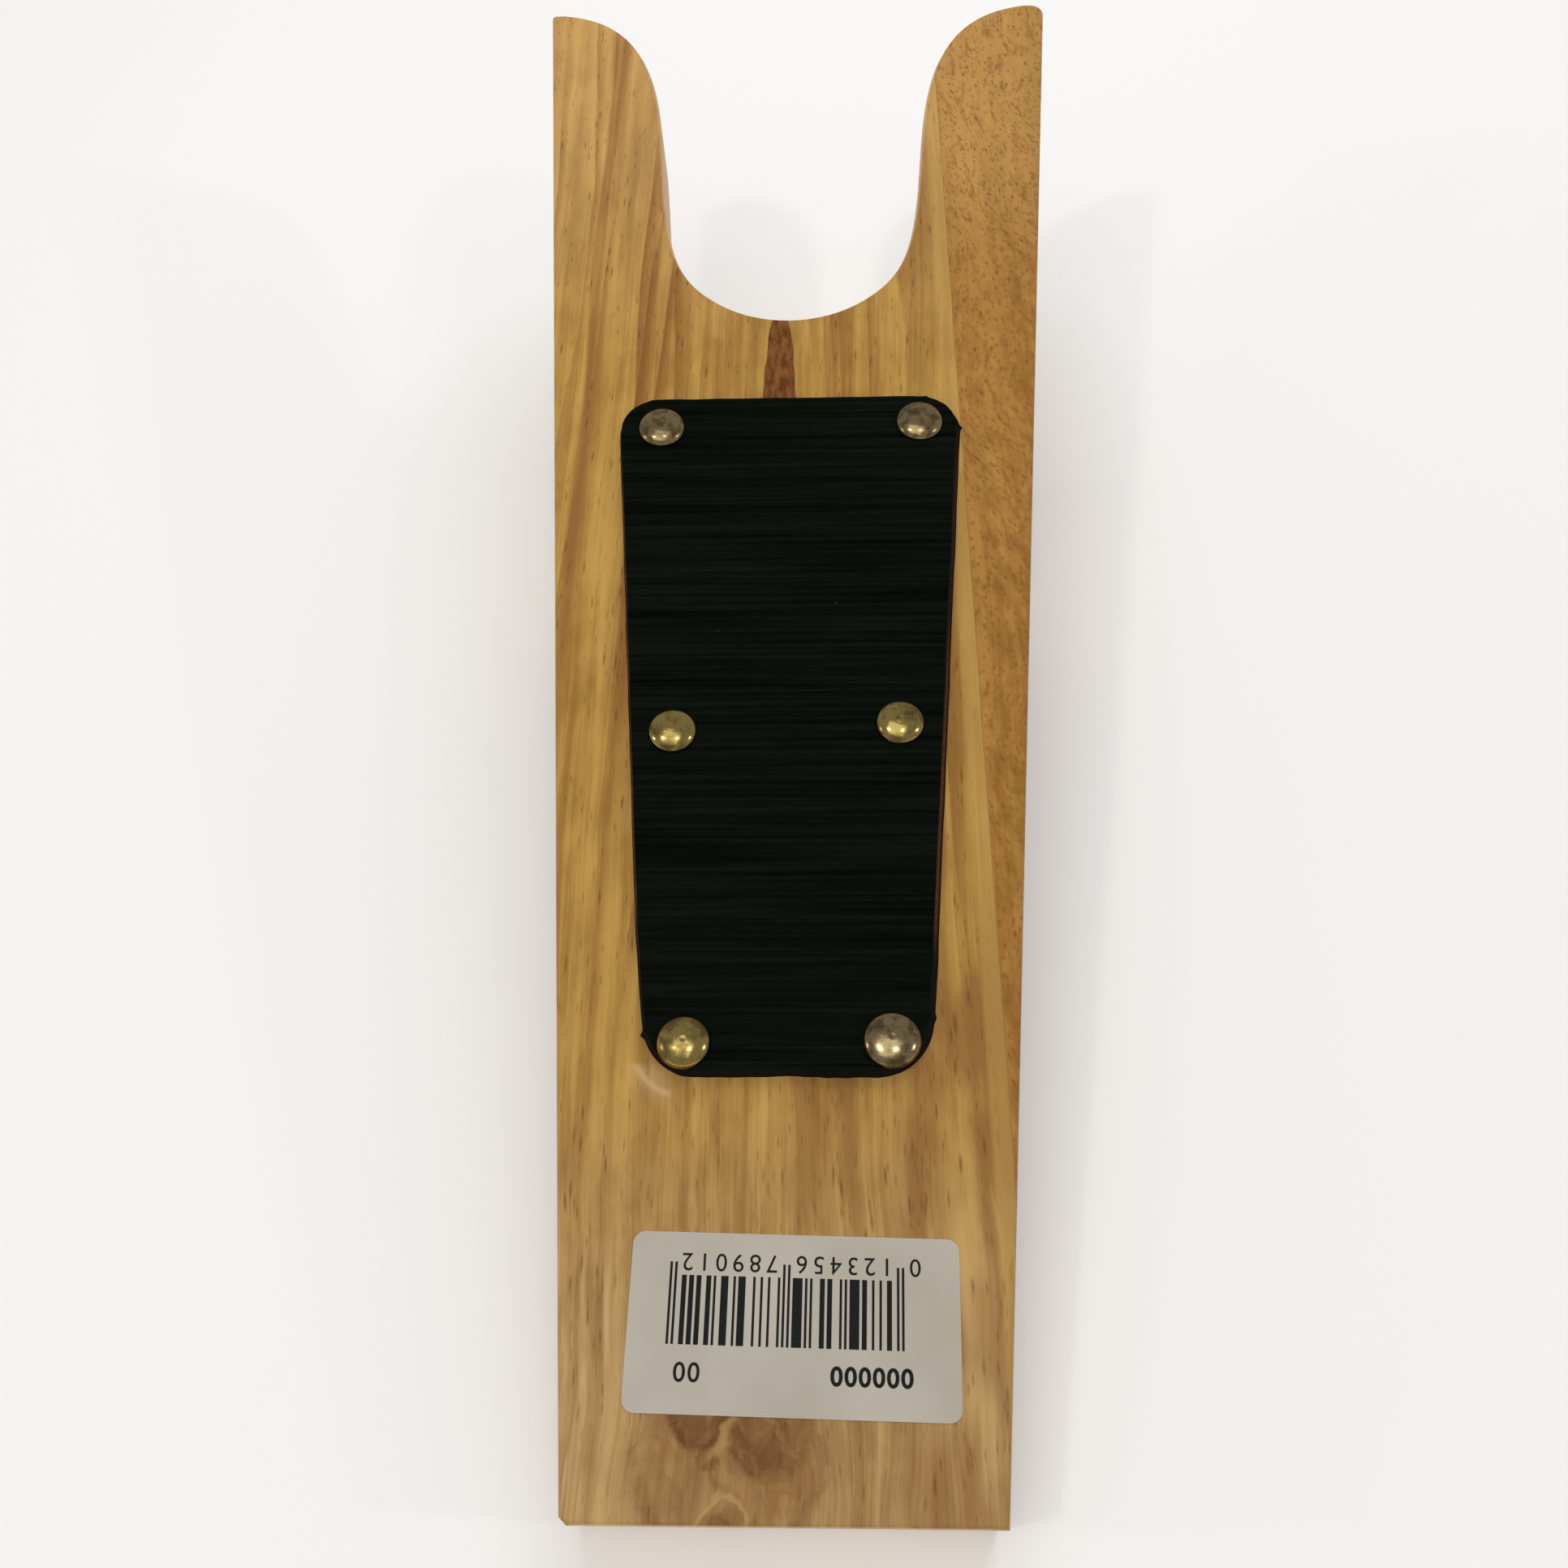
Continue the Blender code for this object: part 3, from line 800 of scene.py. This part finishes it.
def growth_rings(tree, across, along, spacing, seed):
    """Growth rings: each is crisp and dark on its left side and fades to the right."""
    drift = tree.noise(across * 0.030, along * 0.0030, seed, 1.0)
    shiver = tree.noise(across * 0.2, along * 0.045, seed + 5.0, 2.0)
    place = across * (1.0 / spacing) + drift * 8.0 + (shiver - 0.5) * (0.9 / spacing)
    whole = tree.math("FLOOR", place)
    part = place - whole
    strength = tree.ramp(tree.random(whole + seed), 0.10, 0.90)
    fading = tree.noise(across * 0.04, along * 0.012, seed + 2.0, 1.0)
    rise = tree.ramp(part, 0.0, 0.05)
    fall = tree.ramp(part, 0.05, 0.60, 1.0, 0.0)
    return rise * fall * strength * tree.ramp(fading, 0.34, 0.56, 0.30, 1.0)


def lacquered_wood(tree, colour, relief, fibres):
    """A thin satin lacquer over sanded wood, with painted light on its sides: paler in the notch and, less
    so, on its outer sides.
    """
    across, along, _height = tree.place()
    # Painted light: faces that do not lie flat on the board are mixed towards a pale pink, most on the
    # notch's walls.
    side = tree.ramp(tree.facing_up(), 0.88, 0.40)
    painted_side_light = tree.ramp(abs(across) - along * SIDE_TAPER, 29.0, 31.0, 0.54, 0.14)
    colour = tree.mix(side * painted_side_light, colour, (0.84, 0.560, 0.345))
    tree.set(Base_Color=colour, Normal=tree.bump(relief, 0.00005, 0.7), Specular_IOR_Level=0.10)
    tree.set(Roughness=tree.ramp(fibres, 0.3, 0.7, 0.52, 0.42))
    return tree.material


def light_wood():
    """Golden hardwood: growth rings, a reddish streak, a pith mark, and a knot by the tail."""
    tree = Tree("light_wood")
    across, along, height = tree.place()
    tail = tree.ramp(along, 78.0, 15.0)
    low = tree.ramp(along, 105.0, 70.0)

    # The grain wanders, more so by the tail, and leans through the board's thickness.
    wander = tree.noise(across * 0.010, along * 0.008, 0.3, 1.0)
    swirl = tree.noise(across * 0.045, along * 0.030, 8.0, 1.5)
    grain = across + height * GRAIN_LEAN + (wander - 0.5) * 7.0 + (swirl - 0.5) * (1.2 + tail * 6.0)

    broad = tree.noise(grain * 0.075 + 3.7, along * 0.0045, height * 0.07, 2.0)
    streaks = tree.noise(grain * 0.42, along * 0.0095, height * 0.3, 3.0, 0.55)
    fibres = tree.noise(grain * 2.4, along * 0.040, height * 2.4, 2.0)
    cloud = tree.noise(across * 0.16, along * 0.07, height * 0.25 + 4.4, 4.0, 0.6)
    tone = broad * 0.34 + streaks * 0.30 + fibres * 0.13 + cloud * 0.23
    gold = tree.mix(tail * 0.8, (0.490, 0.290, 0.070), (0.475, 0.318, 0.138))
    brown = tree.mix(tail * 0.8, (0.275, 0.135, 0.027), (0.250, 0.138, 0.050))
    colour = tree.mix(tree.ramp(tone, 0.38, 0.60), brown, gold)
    # Painted sheen: the wood is mixed paler and pinker towards the horns, where more light falls.
    colour = tree.mix(tree.ramp(along, 215.0, 285.0) * 0.24, colour, (0.80, 0.50, 0.22))

    # Growth rings: clear towards the notch, and only blurred brown bands by the tail.
    wide = growth_rings(tree, grain, along, 8.0, 2.0)
    narrow = growth_rings(tree, grain, along, 3.1, 31.0)
    sharpness = 1.0 - low * 0.50
    colour = tree.mix(wide * sharpness * 0.80, colour, (0.225, 0.094, 0.022))
    colour = tree.mix(narrow * sharpness * 0.55, colour, (0.240, 0.106, 0.027))
    band = tree.noise(grain * 0.17, along * 0.024, 14.0, 3.0, 0.55)
    band = tree.ramp(band, 0.50, 0.68) * tree.ramp(low, 0.0, 1.0, 0.35, 1.0)
    colour = tree.mix(band * 0.68, colour, (0.238, 0.112, 0.030))
    stain = tree.noise(across * 0.06, along * 0.035, 4.0, 2.0)
    stain = tree.ramp(stain, 0.36, 0.60) * tree.ramp(across, 12.0, 24.0) * low
    colour = tree.mix(stain * 0.72, colour, (0.235, 0.108, 0.030))
    colour = add_ring_lines(tree, across, along, streaks, colour)
    colour = add_red_streak(tree, across, along, colour)

    # Pores: thin dashes everywhere, more where the wood is brown, in rows where a ring begins.
    crowded = wide * 0.45 + narrow * 0.25 + band * 0.35 + stain * 0.35 - 0.12
    fine = pores(tree, grain, along, height, 0.34, 2.0, 0.62, 0.50, crowded)
    long = pores(tree, grain + 13.0, along, height, 0.52, 3.2, 1.05, 0.45, crowded)
    deep = pores(tree, grain + 29.0, along, height, 0.80, 4.0, 2.4, 0.22, stain * 0.6 + band * 0.25 - 0.14)
    pore = tree.math("MAXIMUM", tree.math("MAXIMUM", fine * 0.7, long), deep)
    colour = tree.mix(pore * 0.68, colour, (0.142, 0.056, 0.014))

    # Painted highlights: pale satin streaks low on the left stand in for the light they catch.
    painted_sheen_streaks = tree.noise(grain * 0.55, along * 0.035, 21.0, 2.0)
    painted_sheen_streaks = tree.ramp(painted_sheen_streaks, 0.50, 0.66) * tree.ramp(across, -22.0, -27.0) * tree.ramp(along, 42.0, 30.0)
    colour = tree.mix(painted_sheen_streaks * 0.42, colour, (0.60, 0.44, 0.23))

    colour = add_knot(tree, across, along, colour)
    colour = add_pith(tree, across, along, colour)
    colour = add_scuff(tree, across, along, height, colour)
    colour = add_sapwood(tree, across, along, colour)
    return lacquered_wood(tree, colour, fibres * 0.35 - pore, fibres)


def add_ring_lines(tree, across, along, streaks, colour):
    """The strongest ring lines by the notch: crisp and dark on the left, fading to the right."""
    for start, lean, strength in RING_LINES:
        beside = across - start - (along - NOTCH_BOTTOM) * lean - (streaks - 0.5) * 1.2
        line = tree.ramp(beside, -0.20, 0.10) * tree.ramp(beside, 0.1, 2.4, 1.0, 0.0)
        line = line * tree.ramp(along, 196.0, 206.0) * tree.ramp(along, 262.0, 240.0)
        colour = tree.mix(line * strength, colour, (0.225, 0.092, 0.022))
    return colour


def add_red_streak(tree, across, along, colour):
    """The wide reddish streak on the left, which ends where the board's side cuts it off."""
    sway = tree.noise(0.0, along * 0.011, 2.0, 2.0)
    into = across - STREAK_EDGE - (sway - 0.5) * 4.0
    mottle = tree.noise(across * 0.9, along * 0.03, 1.0, 3.0, 0.6)
    streak = tree.ramp(into, -0.4, 0.9) * tree.ramp(into, 1.2, 5.5, 1.0, 0.0)
    streak = streak * tree.ramp(mottle, 0.25, 0.65, 0.45, 1.0) * tree.ramp(along, 120.0, 160.0)
    return tree.mix(streak * 0.90, colour, (0.255, 0.106, 0.029))


def add_sapwood(tree, across, along, colour):
    """Pale sapwood beside the glue line, and the line itself."""
    to_glue = GLUE_LINE_AT_TAIL * 1000.0 + along * GLUE_LINE_LEAN - across
    colour = tree.mix(tree.ramp(to_glue, 3.8, 2.8) * 0.45, colour, (0.47, 0.285, 0.080))
    return tree.mix(tree.ramp(to_glue, 0.30, 0.05) * 0.50, colour, (0.17, 0.08, 0.03))


def soft_oval(tree, across, along, oval):
    """How far a place is from an oval's centre, as a share of the oval's size there."""
    centre_x, centre_y, half_x, half_y = oval
    out_x = (across - centre_x) * (1.0 / half_x)
    out_y = (along - centre_y) * (1.0 / half_y)
    return tree.math("SQRT", out_x * out_x + out_y * out_y)


def add_knot(tree, across, along, colour):
    """Brown figure round a knot by the tail: dark lobes, a pale flame between them, and a swirl."""
    push_x = tree.noise(across * 0.17, along * 0.17, 2.5, 3.0, 0.55) - 0.5
    push_y = tree.noise(across * 0.17, along * 0.17, 9.5, 3.0, 0.55) - 0.5
    across = across + push_x * 5.5
    along = along + push_y * 5.5
    smoke = tree.ramp(tree.noise(across * 0.30, along * 0.22, 7.5, 3.0, 0.6, 1.2), 0.30, 0.62, 0.55, 1.0)

    around = soft_oval(tree, across, along, KNOT_FIELD)
    colour = tree.mix(tree.ramp(around, 1.25, 0.65) * smoke * 0.66, colour, (0.205, 0.088, 0.022))
    brim = tree.ramp(around, 1.16, 1.04) * tree.ramp(around, 0.90, 1.02)
    colour = tree.mix(brim * smoke * 0.45, colour, (0.165, 0.078, 0.025))
    for oval, darkness in KNOT_LOBES:
        away = soft_oval(tree, across, along, oval)
        rings = tree.noise(away * 6.0, 0.0, oval[0], 2.0)
        body = tree.ramp(away, 1.10, 0.86) * tree.ramp(away, 0.25, 0.92, 0.62, 1.0)
        body = body * tree.ramp(rings, 0.35, 0.65, 0.75, 1.0) * smoke
        colour = tree.mix(body * darkness, colour, (0.110, 0.040, 0.009))
    flame = soft_oval(tree, across - along * 0.62, along, KNOT_FLAME)
    colour = tree.mix(tree.ramp(flame, 1.05, 0.35) * 0.60, colour, (0.400, 0.235, 0.085))
    swirl = soft_oval(tree, across, along, KNOT_SWIRL)
    ridge = tree.ramp(swirl, 1.20, 1.04) * tree.ramp(swirl, 0.88, 1.00)
    colour = tree.mix(ridge * 0.60, colour, (0.430, 0.265, 0.105))
    return tree.mix(tree.ramp(swirl, 1.00, 0.20) * smoke * 0.75, colour, (0.150, 0.068, 0.021))


def add_pith(tree, across, along, colour):
    """The dark pith mark below the notch, which widens towards the tread."""
    ragged = tree.noise(across * 0.5, along * 0.16, 5.0, 3.0) - 0.5
    below = tree.math("SQRT", abs(NOTCH_BOTTOM - along))
    inside = PITH_HALF_WIDTH + below * 0.45 - abs(across - PITH_CENTRE) - ragged
    mask = tree.ramp(inside, 0.0, 0.40) * tree.ramp(along, 186.0, 196.0)
    flecks = tree.noise(across * 0.75, along * 0.22, 6.0, 3.0, 0.55)
    heart = tree.mix(tree.ramp(flecks, 0.34, 0.64), (0.098, 0.030, 0.006), (0.205, 0.080, 0.020))
    heart = tree.mix(tree.ramp(inside, 0.9, 0.1, 0.0, 0.6), heart, (0.070, 0.021, 0.006))
    return tree.mix(mask, colour, heart)


def add_scuff(tree, across, along, height, colour):
    """A faint pale crescent pressed into the wood by the corner of the tread."""
    out_x = across - SCUFF_CENTRE[0]
    out_y = along - SCUFF_CENTRE[1]
    away = tree.math("SQRT", out_x * out_x + out_y * out_y)
    crescent = tree.ramp(abs(away - SCUFF_RADIUS), 0.90, 0.05)
    soft = tree.ramp(away, 12.0, 9.0)
    span = tree.ramp(along, 67.5, 66.0) * tree.ramp(across, -18.0, -19.5)
    on_top = tree.ramp(height, -1.0, -0.5)
    return tree.mix((crescent * 0.35 + soft * 0.25) * span * on_top, colour, (0.58, 0.41, 0.20))


def dark_wood():
    """Orange-brown hardwood, freckled with short dark pores that lean to the grain's ribbons."""
    tree = Tree("dark_wood")
    across, along, height = tree.place()
    wander = tree.noise(across * 0.03, along * 0.014, 0.8, 1.0)
    grain = across + height * GRAIN_LEAN + (wander - 0.5) * 8.0
    broad = tree.noise(grain * 0.075 + 11.2, along * 0.006, height * 0.07, 2.0)
    streaks = tree.noise(grain * 0.35, along * 0.010, height * 0.4, 4.0, 0.6)
    fibres = tree.noise(grain * 2.4, along * 0.045, height * 2.4, 2.0)
    cloud = tree.noise(across * 0.30, along * 0.14, height * 0.40 + 2.2, 3.0, 0.65)
    tone = broad * 0.36 + streaks * 0.26 + fibres * 0.12 + cloud * 0.26
    colour = tree.mix(tree.ramp(tone, 0.38, 0.62), (0.255, 0.112, 0.021), (0.395, 0.200, 0.046))
    # Painted sheen: the wood is mixed paler towards the horns, where more light falls.
    colour = tree.mix(tree.ramp(along, 225.0, 290.0) * 0.26, colour, (0.72, 0.43, 0.15))

    # Small flecks follow lines that bend back and forth across the stave.
    bend = tree.noise(across * 0.02, along * 0.022, 6.6, 1.0)
    slanted = grain + along * 0.16 + (bend - 0.5) * 22.0
    ribbon = tree.noise(slanted * 0.60, along * 0.16, 3.0, 3.0, 0.6)
    colour = tree.mix(tree.ramp(ribbon, 0.50, 0.70, 0.0, 0.35), colour, (0.450, 0.245, 0.066))
    colour = tree.mix(tree.ramp(ribbon, 0.48, 0.32, 0.0, 0.55), colour, (0.220, 0.090, 0.018))
    dense = (tree.noise(across * 0.10, along * 0.05, 7.7, 2.0) - 0.5) * 0.8
    small = pores(tree, slanted, along, height, 0.66, 1.15, 0.84, 0.98, dense)
    large = pores(tree, slanted + 5.0, along, height, 0.66, 1.6, 1.25, 0.75, dense)
    pore = tree.math("MAXIMUM", small * 0.70, large)
    colour = tree.mix(pore * 0.80, colour, (0.190, 0.076, 0.015))
    return lacquered_wood(tree, colour, fibres * 0.35 - pore, fibres)


def block_wood():
    """The golden hardwood again, with its grain across the jack."""
    tree = Tree("block_wood")
    across, along, height = tree.place()
    grain = along + 40.0 + (tree.noise(across * 0.02, along * 0.02, 1.3, 1.0) - 0.5) * 6.0
    broad = tree.noise(grain * 0.09, across * 0.004, height * 0.08, 2.0)
    streaks = tree.noise(grain * 0.45, across * 0.008, height * 0.4, 4.0, 0.6)
    fibres = tree.noise(grain * 2.6, across * 0.035, height * 2.4, 2.0)
    tone = broad * 0.42 + streaks * 0.42 + fibres * 0.16
    colour = tree.mix(tree.ramp(tone, 0.36, 0.64), (0.270, 0.130, 0.036), (0.445, 0.260, 0.082))
    rings = growth_rings(tree, grain + height * 0.35, across, 5.5, 12.0)
    colour = tree.mix(rings * 0.55, colour, (0.25, 0.11, 0.032))
    pore = pores(tree, grain, across, height, 0.28, 2.4, 0.65, 0.45)
    colour = tree.mix(pore * 0.60, colour, (0.165, 0.070, 0.020))
    return lacquered_wood(tree, colour, fibres * 0.35 - pore, fibres)


def rubber():
    """Near-black rubber with a faint green cast. Dust lies in thin lines along its ribs."""
    tree = Tree("rubber")
    across, along, height = tree.place()
    lines = tree.noise(across * 0.020, along * 1.15, 1.0, 2.5, 0.6)
    bands = tree.noise(across * 0.012, along * 0.28, 3.0, 2.0)
    dust = tree.noise(across * 0.35, along * 1.6, 5.0, 4.0, 0.65)
    amount = lines * 0.50 + bands * 0.28 + dust * 0.22
    colour = tree.mix(tree.ramp(amount, 0.34, 0.66), (0.0005, 0.0011, 0.0006), (0.0046, 0.0070, 0.0042))
    far, number = tree.cells(across * 0.10, along * 0.10, 0.0)
    speck = tree.ramp(far, 0.030, 0.012) * tree.ramp(number, 0.60, 0.64)
    colour = tree.mix(speck * 0.5, colour, (0.055, 0.060, 0.052))
    grit = tree.noise(across * 6.0, along * 6.0, height, 2.0, 0.6)
    tree.set(Base_Color=colour, Roughness=tree.ramp(dust, 0.3, 0.7, 0.55, 0.75))
    tree.set(Normal=tree.bump(grit, 0.00002, 0.5), Specular_IOR_Level=0.022)
    return tree.material


def cut_edge():
    """The pad's cut sides: brown fabric along both long sides, plain rubber round the ends, and painted
    shadow that darkens them to black at their foot.
    """
    tree = Tree("cut_edge")
    across, along, height = tree.place()
    weave = tree.noise(across * 1.5, along * 1.5, height * 4.0, 4.0, 0.7)
    patch = tree.noise(across * 0.04, along * 0.035, 2.0, 2.0)
    brown = tree.mix(tree.ramp(weave, 0.35, 0.65), (0.045, 0.016, 0.008), (0.150, 0.055, 0.024))
    long_side = abs(across + 0.3) - along * SIDE_TAPER - 17.2
    between_ends = tree.ramp(along, 82.0, 96.0) * tree.ramp(along, 196.0, 182.0)
    fabric_and_painted_shadow = tree.ramp(long_side, -0.6, 0.2) * between_ends * tree.ramp(patch, 0.38, 0.54, 0.45, 1.0)
    # Painted shadow: the brown fades to black in the lowest millimetre, where the sides meet the board.
    fabric_and_painted_shadow = fabric_and_painted_shadow * tree.ramp(height, 0.25, 0.9)
    colour = tree.mix(fabric_and_painted_shadow, (0.0045, 0.0045, 0.004), brown)
    tree.set(Base_Color=colour, Roughness=0.8, Normal=tree.bump(weave, 0.00008, 0.8))
    tree.set(Specular_IOR_Level=0.10)
    return tree.material


def brass(name, clean, aged, roughness):
    """Thin brass plating with cloudy tarnish and fine wear."""
    tree = Tree(name)
    across, along, height = tree.place()
    cloud = tree.noise(across * 0.42, along * 0.42, height * 0.6, 3.0, 0.55, 0.5)
    spots = tree.noise(across * 2.8, along * 2.8, height, 3.0, 0.7)
    age = cloud * 0.75 + spots * 0.25
    colour = tree.mix(tree.ramp(age, 0.42, 0.62), clean, aged)
    tree.set(Base_Color=colour, Metallic=1.0)
    tree.set(Roughness=tree.ramp(age, 0.38, 0.65, roughness, roughness + 0.14))
    tree.set(Normal=tree.bump(spots, 0.00001, 0.4))
    return tree.material


def paper():
    """Matt label stock, a little grey."""
    tree = Tree("paper")
    across, along, _height = tree.place()
    fibre = tree.noise(across * 5.0, along * 5.0, 0.0, 4.0, 0.7)
    broad = tree.noise(across * 0.06, along * 0.05, 3.0, 2.0)
    grain = tree.noise(across * 1.2, along * 0.05, 8.0, 2.0)
    tone = fibre * 0.25 + broad * 0.75
    colour = tree.mix(tree.ramp(tone, 0.35, 0.65), (0.395, 0.358, 0.298), (0.450, 0.413, 0.352))
    tree.set(Base_Color=colour, Roughness=0.75, Specular_IOR_Level=0.25)
    tree.set(Normal=tree.bump(fibre * 0.4 + grain, 0.00003, 0.5))
    return tree.material


def ink():
    """Black thermal print, slightly uneven."""
    tree = Tree("ink")
    across, along, _height = tree.place()
    wear = tree.noise(across * 2.5, along * 2.5, 0.0, 3.0, 0.7)
    colour = tree.mix(tree.ramp(wear, 0.55, 0.80), (0.006, 0.008, 0.008), (0.035, 0.035, 0.032))
    tree.set(Base_Color=colour, Roughness=0.6, Specular_IOR_Level=0.12)
    return tree.material


def steel():
    """Zinc plating on the block's screws."""
    tree = Tree("steel")
    across, along, height = tree.place()
    cloud = tree.noise(across * 0.9, along * 0.9, height, 4.0, 0.6)
    colour = tree.mix(tree.ramp(cloud, 0.4, 0.6), (0.46, 0.46, 0.43), (0.60, 0.60, 0.57))
    tree.set(Base_Color=colour, Metallic=1.0, Roughness=tree.ramp(cloud, 0.35, 0.65, 0.28, 0.45))
    return tree.material


def floor_paint():
    """Plain matt white paint on the studio's floor."""
    tree = Tree("pale_floor")
    tree.set(Base_Color=(0.86, 0.86, 0.86), Roughness=0.9, Specular_IOR_Level=0.1)
    return tree.material


# ---------------------------------------------------------------- stage, lights and camera


def make_floor():
    """A plain floor at height zero."""
    bm = bmesh.new()
    bmesh.ops.create_grid(bm, x_segments=1, y_segments=1, size=FLOOR_HALF_SIZE)
    mesh = bpy.data.meshes.new("floor")
    bm.to_mesh(mesh)
    bm.free()
    mesh.materials.append(floor_paint())
    floor = bpy.data.objects.new("floor", mesh)
    bpy.context.scene.collection.objects.link(floor)


def add_area_light(name, direction, distance, size, power, colour=(1.0, 1.0, 1.0), mirrored=True):
    """A soft square light that shines at the middle of the jack, and shows in the brass if mirrored."""
    light = bpy.data.lights.new(name, "AREA")
    light.shape = "SQUARE"
    light.size = size
    light.energy = power
    light.color = colour
    lamp = bpy.data.objects.new(name, light)
    lamp.visible_glossy = mirrored
    bpy.context.scene.collection.objects.link(lamp)
    toward = Vector(direction).normalized()
    lamp.location = Vector(LIGHT_TARGET) + toward * distance
    lamp.rotation_euler = toward.to_track_quat("Z", "Y").to_euler()


def make_lights():
    """An even white room, a key light, a fill light and the row of lamps."""
    world = bpy.data.worlds.new("soft_room")
    bpy.context.scene.world = world
    world.use_nodes = True
    background = world.node_tree.nodes["Background"]
    background.inputs["Color"].default_value = (1.0, 1.0, 1.0, 1.0)
    background.inputs["Strength"].default_value = ROOM_STRENGTH
    add_area_light("key", **KEY_LIGHT)
    add_area_light("fill", mirrored=False, **FILL_LIGHT)
    for number, direction in enumerate(LAMP_DIRECTIONS):
        add_area_light(f"lamp_{number}", BOARD.to_3x3() @ Vector(direction), **LAMP)


def make_camera():
    """The scene's camera, at its place in the board's frame."""
    view = bpy.data.cameras.new("camera")
    view.sensor_width = CAMERA_SENSOR
    view.lens = CAMERA_LENS
    view.clip_start = 0.01
    camera = bpy.data.objects.new("camera", view)
    bpy.context.scene.collection.objects.link(camera)
    turn = Euler((CAMERA_TILT, CAMERA_YAW, CAMERA_ROLL)).to_matrix().to_4x4()
    camera.matrix_world = BOARD @ Matrix.Translation(CAMERA_PLACE) @ turn
    bpy.context.scene.camera = camera


def main():
    """Makes the camera, every piece with its material, the floor and the lights."""
    bpy.context.scene.view_settings.view_transform = "Standard"
    make_camera()
    make_board(light_wood(), dark_wood())
    make_block(block_wood())
    make_pad(rubber(), cut_edge())
    yellow = brass("yellow_brass", (0.39, 0.290, 0.092), (0.175, 0.120, 0.039), 0.14)
    dull = brass("dull_brass", (0.325, 0.248, 0.125), (0.130, 0.088, 0.043), 0.15)
    make_tacks(yellow, dull)
    make_label(paper())
    print_ink = ink()
    make_bars(print_ink)
    make_digits(print_ink)
    screw_finish = steel()
    for name in ("block_screw_left", "block_screw_right"):
        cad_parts[name].material_slots[0].material = screw_finish
    make_floor()
    make_lights()


main()
